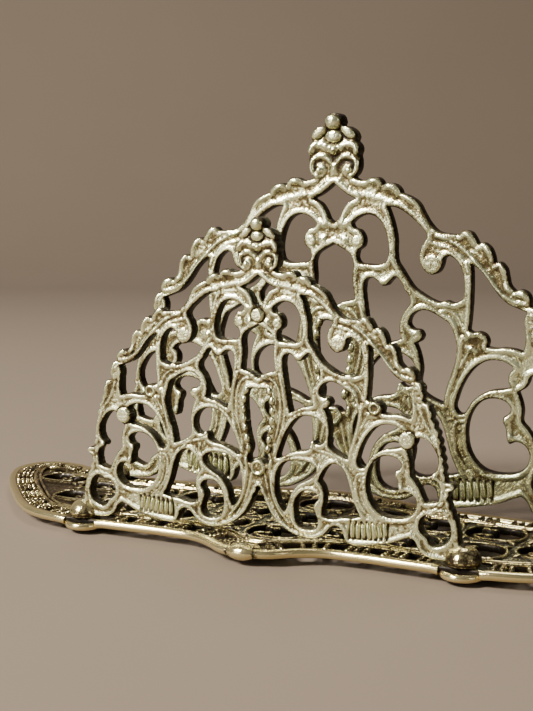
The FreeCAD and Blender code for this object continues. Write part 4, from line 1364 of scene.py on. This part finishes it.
@dataclass
class Panel:
    """One arched openwork panel with its beads, ribs and feet."""

    name: str
    studs: list[Triple]
    rings: list[Triple]
    seed: int
    web: float = 3.6
    crown: float = 4.6
    neck: Point = (74.6, 75.6)
    foot_radius: float = 4.7
    foot_half: float = 56.0
    pattern_top: float = 84.2
    pattern_low: Point = (-59.6, -1.6)
    pattern_high: Point = (59.6, 85.2)
    stud_proud: float = 0.9
    stud_crease: float = 0.4
    ball_proud: float = 0.12
    ring_proud: float = 0.6
    bud_sink: float = 0.25
    crown_lift: float = 0.35
    scallop_levels: Point = (10.0, 44.0)
    scallop_pitch: float = 2.2
    scallop_depth: float = 0.5
    border: float = 0.05
    sunk: float = 0.2
    ridge_share: float = 0.45
    crease_width: float = 0.45
    crease_depth: float = 0.14
    rib_count: int = 8
    rib_start: float = 26.1
    rib_pitch: float = 1.45
    rib_groove: Point = (0.3, 0.6)
    rib_half: Point = (0.64, 2.2)
    rib_sink: float = 0.36
    bead_radius: float = 0.92
    bead_stretch: float = 1.5
    bead_pitch: float = 2.6
    bead_sink: float = 0.32
    size_scatter: float = 0.08
    roughness: Point = (0.06, 0.5)
    grime_reach: Point = (0.8, 1.2)
    wall: float = 0.14
    wall_patina_shade: float = 0.75
    step: float = 0.24
    most_faces: int = 190000

    def measure(self) -> None:
        """Read the panel's scale and place from its CAD node."""
        low, high = box_mm(self.name)
        self.scale = (high[0] - self.foot_radius) / self.foot_half
        self.middle = (low[1] + high[1]) / 2
        self.foot_z = high[2] - self.pattern_top * self.scale

    def to_frame(self, points: np.ndarray) -> np.ndarray:
        """Place pattern points (x, z, height in front of the middle) in the CAD's frame."""
        return np.column_stack([points[:, 0] * self.scale, self.middle - points[:, 2] * self.scale,
                                points[:, 1] * self.scale + self.foot_z])

    def openwork(self) -> Relief:
        """Lay out the outline, the openings and the scalloped flanks.

        Returns:
            The sheet, still flat.
        """
        relief = Relief(self.pattern_low, self.pattern_high, self.step)
        loops = [symmetric_loop(runs) for runs in (PANEL_EDGE, *AXIS_OPENINGS.values())]
        for runs in SIDE_OPENINGS.values():
            loops += both_sides(chain(runs))
        relief.add_openwork(loops)
        relief.scallop(loops[0], self.scallop_levels, self.scallop_pitch, self.scallop_depth)
        return relief

    def relief(self) -> Relief:
        """Model the whole face of the panel as one relief.

        Returns:
            The finished relief.
        """
        relief = self.openwork()
        half = self.web / 2 / self.scale
        relief.cast(half, self.border, self.sunk)
        raised = (self.crown - self.web) / 2 / self.scale * soft_step(*self.neck, relief.v)
        relief.front += raised
        relief.back += raised
        for points, width, height in RIDGES:
            for side in both_sides(smooth_run(points)):
                relief.ridge(side, width, self.ridge_share * height)
        for x, z, along, across, turn, height in BUDS:
            lift = half - self.bud_sink + (self.crown_lift if z > self.neck[0] else 0.0)
            for side in ((1, -1) if x > 0 else (1,)):
                relief.dome((side * x, z), along, across, side * turn, height, lift)
        for x, z, along, across, turn, height in LOBES:
            for side in (1, -1):
                relief.swell((side * x, z), along, across, side * turn, height)
        grooves = [(line, self.crease_width, self.crease_depth) for line in self.creases()]
        grooves += [(line, *self.rib_groove) for line in self.rib_grooves()]
        for line, width, depth in grooves:
            for side in both_sides(line):
                relief.groove(side, width, depth)
        for discs, proud, crease in ((self.studs, self.stud_proud, self.stud_crease),
                                     (BALL_FACES, self.ball_proud, 0.0)):
            for x, z, radius in discs:
                for place in pair(x, z):
                    relief.stud(place, radius, half + proud, crease)
        for x, z, radius in self.rings:
            for place in pair(x, z):
                relief.ring_bud(place, radius, half + self.ring_proud)
        relief.roughen(*self.roughness, self.seed)
        return relief

    @staticmethod
    def creases() -> list[np.ndarray]:
        """Lines that run inwards from the notches between the lobes of the edge.

        Returns:
            One line for each notch of the right half.
        """
        lines = []
        for run in PANEL_EDGE[4:14]:
            x, z = run[-1]
            inward = np.array([-x, 22.0 - z]) / math.hypot(x, 22.0 - z)
            turned = np.array([inward[0] * 0.82 + inward[1] * 0.57, inward[1] * 0.82 - inward[0] * 0.57])
            ends = [tuple((x, z) + inward * 0.8), tuple((x, z) + inward + turned * 1.4)]
            lines.append(smooth_run([(x, z), *ends]))
        return lines

    def rib_grooves(self) -> list[np.ndarray]:
        """Lines between the ribs of the block over a lower scroll.

        Returns:
            One line for each groove of the right half.
        """
        lines = []
        for k in range(self.rib_count):
            x = self.rib_start + self.rib_pitch * k
            lines.append(smooth_run([(x, 2.7 + 0.06 * k), (x + 0.1, 4.8), (x + 0.35, 7.2)]))
        return lines

    def casting(self) -> bpy.types.Object:
        """Make the main sheet of the panel.

        Returns:
            The piece.
        """
        relief = self.relief()
        piece, points, on_wall = cast_piece(self.name + "_casting", relief, self.most_faces, self.wall)
        front, back = (relief.lookup(face, points) for face in (relief.front, relief.back))
        ahead, behind = (relief.lookup(relief.hollowness(face, reach), points)
                         for face, reach in zip((relief.front, relief.back), self.grime_reach))
        on_back = points[:, 2] < 0.5 * (front - back)
        mark_patina_shade(piece, on_wall, self.wall_patina_shade, np.where(on_back, behind, ahead))
        move_points(piece, self.to_frame(points))
        return piece

    def rows(self, line: Run, sink: float) -> list[np.ndarray]:
        """Place a pattern line and its mirror image just under the face of the sheet.

        Args:
            line: points of the pattern line.
            sink: how deep the row sits below the face.

        Returns:
            Both lines in the CAD's frame.
        """
        height = self.web / 2 / self.scale - sink
        return [self.to_frame(np.column_stack([side, np.full(len(side), height)]))
                for side in both_sides(smooth_run(line, 0.2))]

    def beads(self, shop: Workshop) -> bpy.types.Object:
        """Set a row of beads along the inner edge of the tall centre loop.

        Args:
            shop: shared trees and finishes.

        Returns:
            The piece.
        """
        radius = self.bead_radius * self.scale
        profile = [(radius * math.cos(t), radius * math.sin(t)) for t in np.linspace(-QUARTER, QUARTER, 9)]
        vertices, faces = lathe(profile, 10)
        item = mesh_object("bead", vertices * (self.bead_stretch, 1.0, 1.0), faces)
        forward = -points_of(item)[:, 1]
        paint(item, "hollow", np.interp(forward, [-0.2 * radius, 0.8 * radius], [0.95, 0.34]))
        return shop.repeat_along(self.name + "_beads", self.rows(BEAD_LINE, self.bead_sink), item,
                                 self.bead_pitch * self.scale, self.size_scatter, 5, Role.PANEL)

    def ribs(self, shop: Workshop) -> bpy.types.Object:
        """Set the upright ribs of the shell-like block over each lower scroll.

        Args:
            shop: shared trees and finishes.

        Returns:
            The piece.
        """
        wide, long = (size * self.scale for size in self.rib_half)
        profile = [(wide * math.cos(t) ** 0.6 if abs(t) < 1.57 else 0.0, long * math.sin(t))
                   for t in np.linspace(-QUARTER, QUARTER, 9)]
        item = lathe_item("rib", profile, 8)
        share = np.abs(points_of(item)[:, 2]) / long
        paint(item, "hollow", np.clip(0.15 + 0.9 * share ** 3, 0, 1))
        return shop.repeat_along(self.name + "_ribs", self.rows(RIB_LINE, self.rib_sink), item,
                                 self.rib_pitch * self.scale, self.size_scatter, 3, Role.PANEL)

    def feet(self, shop: Workshop, seats: list[np.ndarray]) -> bpy.types.Object:
        """Set the two round bosses that stand on the tray's lugs.

        Args:
            shop: shared trees and finishes.
            seats: screw places in millimetres.

        Returns:
            The piece with both bosses.
        """
        r = self.foot_radius
        profile = [(0.0, -1.9), (3.0, -1.9), (3.1, -1.6), (3.1, -0.95), (3.4, -0.85), (4.0, -0.85),
                   (4.4, -0.7), (4.55, -0.45), (4.46, -0.2), (4.55, 0.0), (r, 0.25), (4.66, 0.6),
                   (4.5, 1.1), (4.2, 1.75), (3.78, 2.4), (3.25, 2.98), (2.6, 3.42), (1.9, 3.74),
                   (1.0, 3.95), (0.0, 4.0)]
        # The collar under the dome is marked fully deep as painted shadow in the gap over the lug; the
        # dome's middling marks are painted shade for the dark room it reflects.
        marks = [(-1.9, 1.0), (-0.8, 1.0), (-0.5, 0.5), (-0.2, 0.9), (0.1, 0.55), (2.6, 0.42), (4.0, 0.36)]
        item = lathe_item("foot_boss", profile, 48, marks)
        places = [np.array([[x, y, self.foot_z]]) for x, y in seats if abs(y - self.middle) < r]
        return shop.place_on(self.name + "_feet", places, item)

    def build(self, shop: Workshop, seats: list[np.ndarray]) -> None:
        """Make every piece of the panel and deliver it.

        Args:
            shop: shared trees and finishes.
            seats: screw places in millimetres.
        """
        self.measure()
        shop.deliver(self.casting(), Role.PANEL, (self.name,))
        shop.deliver(self.beads(shop), Role.PANEL)
        shop.deliver(self.ribs(shop), Role.PANEL)
        shop.deliver(self.feet(shop, seats), Role.TRAY)


@dataclass
class Tray:
    """The pierced base tray with its moulded rim, gallery and lugs."""

    node: str = "base_plate"
    rim_level: float = 3.4
    rim_dip: float = 0.35
    field_middle: float = 3.3
    field_half: float = 0.9
    band_inset: float = 8.2
    band_width: float = 2.2
    link_pitch: float = 10.0
    link_width: float = 1.0
    column_pitch: float = 18.0
    bar: float = 2.4
    step: float = 0.3
    lug_radius: float = 5.9
    lug_sides: int = 56
    rod_reach: float = 5.95
    link_shifts: Triple = (-2.3, 0.0, 2.3)
    link_level: float = 3.9
    wire_level: float = 4.35
    wire_radius: float = 0.42
    border: float = 0.2
    sunk: float = 0.3
    curl_half: float = 0.75
    curl_tip: float = 1.25
    roughness: Point = (0.1, 1.0)
    seed: int = 21
    grime_reach: float = 0.9
    wall: float = 0.17
    wall_patina_shade: float = 0.9
    most_faces: int = 180000

    def measure(self, seats: list[np.ndarray]) -> None:
        """Place the outline over its CAD node and note the lugs.

        Args:
            seats: screw places in millimetres.
        """
        low, _ = box_mm(self.node)
        given = np.array(TRAY_EDGE, float)
        given[:, 1] += low[1] - given[:, 1].min()
        around = np.vstack([mirror(given)[:-1], given, mirror(given)[1:2]])
        loop = smooth_run([tuple(row) for row in around], 0.2)
        half = loop[loop[:, 0] >= 0]
        start = int(np.argmin(np.hypot(*(half - given[0]).T)))
        half = half[start:]
        stop = int(np.argmin(np.hypot(*(half - given[-1]).T)))
        half = np.vstack([given[:1], half[1:stop], given[-1:]])
        self.outline = np.vstack([half, mirror(half)[1:]])
        steps = np.hypot(*np.diff(self.outline, axis=0).T)
        self.run = np.concatenate([[0], np.cumsum(steps)])
        self.seats = seats

    def along(self, distance: np.ndarray, inset: float) -> np.ndarray:
        """Points at distances round the outline, moved inwards.

        Args:
            distance: distances round the outline from its front middle.
            inset: how far inwards.

        Returns:
            Rows of (x, y).
        """
        total = self.run[-1]
        distance = np.asarray(distance, float)

        def at(s: np.ndarray) -> np.ndarray:
            """Points of the outline itself."""
            s = np.mod(s, total)
            return np.column_stack([np.interp(s, self.run, self.outline[:, k]) for k in (0, 1)])

        tangent = at(distance + 0.6) - at(distance - 0.6)
        tangent /= np.linalg.norm(tangent, axis=1)[:, None]
        return at(distance) + inset * np.column_stack([-tangent[:, 1], tangent[:, 0]])

    def ring(self, inset: float, step: float = 1.2) -> np.ndarray:
        """Closed line parallel to the outline.

        Args:
            inset: how far inwards.
            step: spacing of its points.

        Returns:
            Rows of (x, y), with the first again at the end.
        """
        count = int(self.run[-1] / step)
        line = self.along(np.linspace(0, self.run[-1], count, endpoint=False), inset)
        return np.vstack([line, line[:1]])

    def near_seat(self, points: np.ndarray) -> np.ndarray:
        """Distance from each point to the nearest lug centre."""
        return np.min([np.hypot(points[:, 0] - x, points[:, 1] - y) for x, y in self.seats], axis=0)

    def between_lugs(self, line: np.ndarray, reach: float) -> list[np.ndarray]:
        """Split a closed line into the stretches that lie outside the lugs.

        Args:
            line: the closed line.
            reach: distance kept from each lug centre.

        Returns:
            The stretches.
        """
        ring = line[:-1]
        clear = self.near_seat(ring[:, :2]) > reach
        first = int(np.argmin(clear))
        ring, clear = np.roll(ring, -first, axis=0), np.roll(clear, -first)
        edges = np.flatnonzero(np.diff(np.concatenate([[0], clear.astype(int), [0]])))
        return [ring[a:b] for a, b in zip(edges[::2], edges[1::2]) if b - a > 3]

    def level(self, line: np.ndarray, height: float) -> np.ndarray:
        """Give a plan line its height, dipping where it meets the lugs."""
        dip = self.rim_dip * (1 - soft_step(5.4, 9.0, self.near_seat(line)))
        return np.column_stack([line, height - dip])

    def cells(self) -> tuple[int, float]:
        """Number of openings round the rim, and their exact pitch.

        Returns:
            The number and the pitch.
        """
        total = self.run[-1]
        count = int(round(total / self.link_pitch / 2)) * 2
        return count, total / count

    def openings(self) -> list[np.ndarray]:
        """Loops of the openings between rim and band.

        Returns:
            Closed lines.
        """
        cells, pitch = self.cells()
        loops = []
        for i in range(cells):
            margin = self.link_width / 2
            s = np.linspace(pitch * i + margin, pitch * (i + 1) - margin, 30)
            outer, inner = self.along(s, 2.8), self.along(s, self.band_inset)
            if np.hypot(*(inner[0] - inner[-1])) < 4.5:
                continue
            loop = np.vstack([outer, inner[::-1], outer[:1]])
            if self.near_seat(loop).min() > self.lug_radius + 0.8:
                loops.append(loop)
        return loops

    def ovals(self) -> list[tuple[float, float, float, float]]:
        """Places and half sizes of the field's openings.

        Returns:
            Rows of centre x and y, half size across and half size along.
        """
        found = []
        for column in range(-5, 6):
            x = column * self.column_pitch
            low, high = self.depth_at(x)
            beside = self.depth_at(abs(x) + self.column_pitch * 0.6)[0]
            low = max(low, beside) + self.band_inset + self.band_width
            high -= self.band_inset + self.band_width
            across = (self.column_pitch - self.bar) / 2
            rows = max(1, int(round((high - low) / 15)))
            along = (high - low - self.bar * (rows - 1)) / rows / 2
            for row in range(rows):
                y = low + along + row * (2 * along + self.bar)
                if self.near_seat(np.array([[x, y]]))[0] > self.lug_radius + max(across, along):
                    found.append((x, y, across, along))
        return found

    def depth_at(self, x: float) -> tuple[float, float]:
        """Front and back of the outline at one x."""
        near = self.outline[np.abs(self.outline[:, 0] - x) < 0.6, 1]
        return float(near.min()), float(near.max())

    def curls(self, ovals: list[tuple[float, float, float, float]]) -> list[np.ndarray]:
        """Two scroll lines in every oval, each from its middle to its tip.

        Args:
            ovals: centres and half sizes of the openings.

        Returns:
            Two lines for each oval.
        """
        t = np.linspace(0, 4.4, 30)
        reach = np.linspace(1.0, 0.34, 30)
        lines = []
        for x, y, across, along in ovals:
            side = 1 if x >= 0 else -1
            for up in (1, -1):
                lines.append(np.column_stack([x + side * across * 0.98 * reach * np.cos(t),
                                              y + up * (along * 0.5 + along * 0.48 * reach * np.sin(t))]))
        return lines

    def field_relief(self) -> Relief:
        """Model the pierced field that fills the rim.

        Returns:
            The finished relief.
        """
        low, high = self.outline.min(0) - 1, self.outline.max(0) + 1
        relief = Relief(tuple(low), tuple(high), self.step)
        turns = np.linspace(0, 2 * math.pi, 80)
        ovals = self.ovals()
        loops = [self.ring(0.8)] + self.openings()
        for x, y, across, along in ovals:
            loops.append(np.column_stack([x + across * np.cos(turns), y + along * np.sin(turns)]))
        relief.add_openwork(loops)
        curls = self.curls(ovals)
        for line in curls:
            relief.add_stroke(line, self.curl_half)
        for line in curls:
            relief.add_disc(line[-1], self.curl_tip)
        relief.cast(self.field_half, self.border, self.sunk)
        for line in curls:
            relief.ridge(line, 0.3, 0.3)
            relief.dome(line[-1], 1.2, 1.2, 0, 0.7, self.field_half - 0.2)
        for x, y, across, along in ovals:
            for k in range(4):
                t = math.pi / 4 + k * math.pi / 2
                spot = (x + (across + 1.5) * math.cos(t), y + (along + 1.5) * math.sin(t))
                relief.dome(spot, 1.7, 0.9, math.degrees(t), 0.55, self.field_half - 0.3)
        front = self.along(np.array([0.0]), 3.6)[0]
        relief.dome(front, 4.6, 2.4, 0, 1.3, self.field_half - 0.2)
        relief.roughen(*self.roughness, self.seed)
        return relief

    def field_casting(self) -> bpy.types.Object:
        """Make the pierced field as a piece.

        Returns:
            The piece.
        """
        relief = self.field_relief()
        piece, points, on_wall = cast_piece("tray_field", relief, self.most_faces, self.wall)
        depth = relief.lookup(relief.hollowness(relief.front, self.grime_reach), points)
        # The top's depth marks are raised by 0.3 as painted shade, as the tray lies in shade.
        mark_patina_shade(piece, on_wall, self.wall_patina_shade, np.where(points[:, 2] < 0, 0.6, depth + 0.3))
        move_points(piece, points + (0.0, 0.0, self.field_middle))
        return piece

    def rim(self, shop: Workshop) -> bpy.types.Object:
        """Sweep the moulded edge: a bold rod outside, a cove and a thin ridge inside.

        Args:
            shop: shared trees and finishes.

        Returns:
            The piece.
        """
        rod = [(1.3 + 1.3 * math.cos(t), 1.3 * math.sin(t)) for t in np.linspace(-2.2, -5.3, 15)]
        rest = [(2.25, 0.72), (2.6, 0.95), (2.85, 1.4), (3.05, 1.66), (3.3, 1.72), (3.5, 1.5),
                (3.55, 0.9), (3.5, -0.3), (3.1, -0.8), (2.2, -0.95), (1.2, -1.2)]
        section = np.array(rod + rest)
        line = np.column_stack([-section[:, 0], section[:, 1], np.zeros(len(section))])
        profile = wire_object("rim_profile", [np.vstack([line, line[:1]])])
        path = self.between_lugs(self.level(self.ring(0.0), self.rim_level), self.rod_reach)
        return shop.sweep_along("tray_rim", path, profile)

    def wires(self, shop: Workshop) -> bpy.types.Object:
        """Sweep the two thin wires that run along the inner band.

        Args:
            shop: shared trees and finishes.

        Returns:
            The piece.
        """
        lines = [self.level(self.ring(self.band_inset + shift), self.wire_level) for shift in (0.35, 1.9)]
        turns = np.linspace(0, 2 * math.pi, 9)
        circle = np.column_stack([self.wire_radius * np.cos(turns), self.wire_radius * np.sin(turns),
                                  np.zeros(len(turns))])
        circle[-1] = circle[0]
        piece = shop.sweep_along("tray_wires", lines, wire_object("wire_profile", [circle]))
        paint(piece, "hollow", np.full(len(piece.data.vertices), 0.46))
        return piece

    def links(self, shop: Workshop) -> bpy.types.Object:
        """Set small turned spindles between the rim and the band.

        Args:
            shop: shared trees and finishes.

        Returns:
            The piece.
        """
        cells, pitch = self.cells()
        lines = []
        for i in range(cells):
            for shift in self.link_shifts:
                s = np.array([pitch * i + shift])
                ends = np.vstack([self.along(s, 3.3), self.along(s, self.band_inset + 0.4)])
                if self.near_seat(ends).min() > self.lug_radius + 1.0:
                    line = np.column_stack([ends, [self.link_level, self.link_level]])
                    lines.append(np.vstack([line[0], line.mean(0), line[1]]))
        profile = [(0.0, -0.75), (0.6, -0.5), (0.82, 0.0), (0.6, 0.5), (0.0, 0.75)]
        item = lathe_item("spindle_bead", profile, 6, [(-1.0, 0.5), (1.0, 0.5)])
        return shop.repeat_along("tray_links", lines, item, 1.15, 0.18, 9, Role.TRAY)

    def front_boss(self) -> bpy.types.Object:
        """Set the long bead that marks the middle of the front edge.

        Returns:
            The piece.
        """
        half = [(0.0, -4.9), (0.75, -4.75), (0.98, -4.4), (0.8, -4.05), (1.15, -3.6), (1.6, -2.6),
                (1.95, -1.3)]
        profile = half + [(2.05, 0.0)] + [(radius, -reach) for radius, reach in reversed(half)]
        marks = [(-4.9, 0.3), (-4.05, 0.8), (-3.4, 0.3), (3.4, 0.3), (4.05, 0.8), (4.9, 0.3)]
        item = lathe_item("tray_front_boss", profile, 24, marks)
        front = self.outline[:, 1].min()
        item.data.transform(Matrix.Translation((0.0, front + 1.0, self.rim_level))
                            @ Matrix.Rotation(math.pi / 2, 4, "Y"))
        return item

    def lugs(self, shop: Workshop) -> bpy.types.Object:
        """Set the four round eyelets that carry the feet.

        Args:
            shop: shared trees and finishes.

        Returns:
            The piece.
        """
        r, sides = self.lug_radius, self.lug_sides
        profile = [(1.7, 1.2), (r - 0.9, 1.2), (r - 0.35, 1.4), (r - 0.05, 1.85), (r, 2.3), (r - 0.1, 2.8),
                   (r - 0.45, 3.2), (r - 1.0, 3.4), (r - 1.5, 3.38), (r - 1.9, 3.2), (r - 2.5, 3.15),
                   (1.7, 3.15)]
        vertices, faces = lathe(profile, sides)
        kept = faces[:len(faces) - 2 * (sides - 2)]
        last = (len(profile) - 1) * sides
        inner = []
        for i in range(sides):
            j = (i + 1) % sides
            inner += [(last + i, last + j, j), (last + i, j, i)]
        item = mesh_object("lug", vertices, np.vstack([kept, np.array(inner)]))
        reach = np.hypot(*points_of(item)[:, :2].T)
        # The lug's top inside its raised edge is marked fully deep: painted shadow under the foot boss.
        paint(item, "hollow", np.where(reach < r - 0.9, 1.0, 0.2))
        return shop.place_on("tray_lugs", [np.array([[x, y, 0.0]]) for x, y in self.seats], item)

    def build(self, shop: Workshop) -> None:
        """Make every piece of the tray and deliver it.

        Args:
            shop: shared trees and finishes.
        """
        shop.deliver(self.field_casting(), Role.TRAY, (self.node,))
        for make in (self.rim, self.wires, self.links, self.lugs):
            shop.deliver(make(shop), Role.TRAY)
        shop.deliver(self.front_boss(), Role.TRAY)


@dataclass
class Screw:
    """A slotted screw that holds a foot from beneath."""

    node: str
    turn: float
    head_radius: float = 3.2
    head_height: float = 1.2
    shank_radius: float = 1.4
    slot_half: float = 0.45
    slot_depth: float = 0.6
    slot_ramp: float = 0.08
    rim_drop: float = 0.25
    window: float = 3.5
    step: float = 0.1
    most_faces: int = 5000

    def build(self, shop: Workshop) -> np.ndarray:
        """Make the screw and deliver it.

        Args:
            shop: shared trees and finishes.

        Returns:
            The place of its axis in plan, in millimetres.
        """
        low, high = box_mm(self.node)
        axis = (low[:2] + high[:2]) / 2
        relief = self.head()
        head = mesh_object("screw_head", *relief.shell())
        thin_out(head, self.most_faces)
        vertices = points_of(head) * (1, -1, -1) + (axis[0], axis[1], low[2] + self.head_height)
        faces = np.array([tuple(polygon.vertices) for polygon in head.data.polygons])
        bpy.data.objects.remove(head)
        side = [(0.0, 1.0), (self.shank_radius, 1.0), (self.shank_radius, 7.9), (1.0, 8.3), (0.0, 8.3)]
        shank, shank_faces = lathe(side, 24)
        shank += (axis[0], axis[1], low[2])
        faces = np.vstack([faces, shank_faces + len(vertices)])
        piece = mesh_object(self.node + "_slotted", np.vstack([vertices, shank]), faces)
        close_up(piece)
        local = (points_of(piece)[:, :2] - axis) * (1, -1)
        paint(piece, "hollow", relief.lookup(relief.hollowness(relief.front, 0.5), local))
        shop.deliver(piece, Role.SCREW, (self.node,))
        return axis

    def head(self) -> Relief:
        """Model the domed head with its slot, seen from beneath.

        Returns:
            The relief of the head.
        """
        relief = Relief((-self.window, -self.window), (self.window, self.window), self.step)
        relief.add_disc((0.0, 0.0), self.head_radius)
        reach = np.hypot(relief.u, relief.v)
        relief.front = self.head_height * (1 - 0.35 * (reach / self.head_radius) ** 2)
        relief.front -= self.rim_drop * (1 - soft_step(0.0, 0.5, relief.edge))
        across = np.abs(relief.u * math.cos(self.turn) + relief.v * math.sin(self.turn))
        low, high = self.slot_half - self.slot_ramp, self.slot_half + self.slot_ramp
        relief.front -= self.slot_depth * (1 - soft_step(low, high, across))
        relief.back = np.zeros_like(relief.front)
        return relief


@dataclass(frozen=True)
class Lamp:
    """One soft area light: place in plan, height, size, power and colour."""

    name: str
    place: Point
    height: float
    size: float
    power: float
    tint: Triple

    def hang(self, target: Triple) -> None:
        """Make the light and turn it to a target.

        Args:
            target: the place that the light faces.
        """
        light = bpy.data.lights.new(self.name, "AREA")
        light.size = self.size
        light.energy = self.power
        light.color = self.tint
        lamp = put(self.name, light)
        lamp.location = (*self.place, self.height)
        aim = Vector(target) - Vector(lamp.location)
        lamp.rotation_euler = aim.to_track_quat("-Z", "Y").to_euler()


LAMPS: list[Lamp] = [
    Lamp("key_window", (-0.75, -1.05), 1.05, 0.42, 97.0, (1.0, 0.985, 0.94)),
    Lamp("fill", (0.9, -0.5), 0.35, 0.4, 1.0, (1.0, 0.97, 0.92)),
    Lamp("bounce", (-0.72, -1.3), 0.3, 0.5, 6.0, (1.0, 0.985, 0.93)),
    Lamp("top", (-0.1, 0.35), 0.9, 0.4, 4.0, (1.0, 0.99, 0.96)),
]


@dataclass
class Studio:
    """Plain pale sweep, soft lights and the camera, all off the object."""

    eye: Triple = (0.1564, -0.32975, 0.0973)
    heading: float = 26.819
    pitch: float = -7.284
    roll: float = 0.095
    lens: float = 67.19
    sensor: float = 36.0
    target: Triple = (0, 0, 0.04)
    front: float = -2.5
    floor: float = 0.9
    curve: float = 0.5
    wall: float = 1.6
    half_width: float = 3.0
    floor_colour: Triple = (0.147, 0.108, 0.074)
    mottling: float = 0.93
    sky_colour: Triple = (0.86, 0.83, 0.80)
    sky_power: float = 0.06

    def backdrop(self) -> None:
        """Make one floor that curves up into a wall behind the object."""
        section = [(self.front, 0.0), (self.floor, 0.0)]
        for t in np.linspace(0.1, math.pi / 2, 12):
            section.append((self.floor + self.curve * math.sin(t), self.curve * (1 - math.cos(t))))
        section.append((self.floor + self.curve, self.wall + self.curve))
        vertices = np.array([(x, y, z) for y, z in section for x in (-self.half_width, self.half_width)])
        spin = np.array(Matrix.Rotation(math.radians(self.heading), 3, "Z"))
        rows = range(len(section) - 1)
        faces = np.array([(2 * i, 2 * i + 1, 2 * i + 3) for i in rows]
                         + [(2 * i, 2 * i + 3, 2 * i + 2) for i in rows])
        sweep = mesh_object("studio_sweep", vertices @ spin.T, faces)
        sweep.data.materials.append(self.paper())

    def paper(self) -> bpy.types.Material:
        """Matt paper with a faint cloudiness.

        Returns:
            The material.
        """
        material = bpy.data.materials.new("pale_paper")
        material.use_nodes = True
        tree = material.node_tree
        shader = tree.nodes["Principled BSDF"]
        shader.inputs["Roughness"].default_value = 0.85
        place = wire_node(tree, "ShaderNodeTexCoord", {}).outputs["Object"]
        cloud = wire_node(tree, "ShaderNodeTexNoise", {"Vector": place, "Scale": 9.0, "Detail": 2.0})
        darker = tuple(c * self.mottling for c in self.floor_colour)
        tint = BrassFinish.blend(tree, cloud.outputs[0], self.floor_colour, darker)
        tree.links.new(tint, shader.inputs["Base Color"])
        return material

    def build(self) -> None:
        """Set the stage, lights, world and camera."""
        self.backdrop()
        for lamp in LAMPS:
            lamp.hang(self.target)
        world = bpy.data.worlds.new("soft_room")
        world.use_nodes = True
        sky = world.node_tree.nodes["Background"]
        sky.inputs["Color"].default_value = (*self.sky_colour, 1)
        sky.inputs["Strength"].default_value = self.sky_power
        bpy.context.scene.world = world
        camera = bpy.data.cameras.new("camera")
        camera.lens = self.lens
        camera.sensor_width = self.sensor
        camera.clip_start = 0.01
        eye = put("camera", camera)
        eye.location = self.eye
        eye.rotation_euler = [math.radians(angle) for angle in (90 + self.pitch, self.roll, self.heading)]
        bpy.context.scene.camera = eye


def main() -> None:
    """Build the rack and set the studio."""
    logging.basicConfig(level=logging.INFO, format="%(name)s %(message)s")
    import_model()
    shop = Workshop.open()
    screws = [Screw("front_left_screw", 0.5), Screw("front_right_screw", 1.2),
              Screw("rear_left_screw", 2.1), Screw("rear_right_screw", 0.1)]
    seats = [screw.build(shop) for screw in screws]
    tray = Tray()
    tray.measure(seats)
    tray.build(shop)
    Panel("front_panel", FRONT_STUDS, [BUD_RING, RING_BOSS], 11).build(shop, seats)
    Panel("rear_panel", [], [RING_BOSS], 12).build(shop, seats)
    Studio().build()


if __name__ == "__main__":
    main()
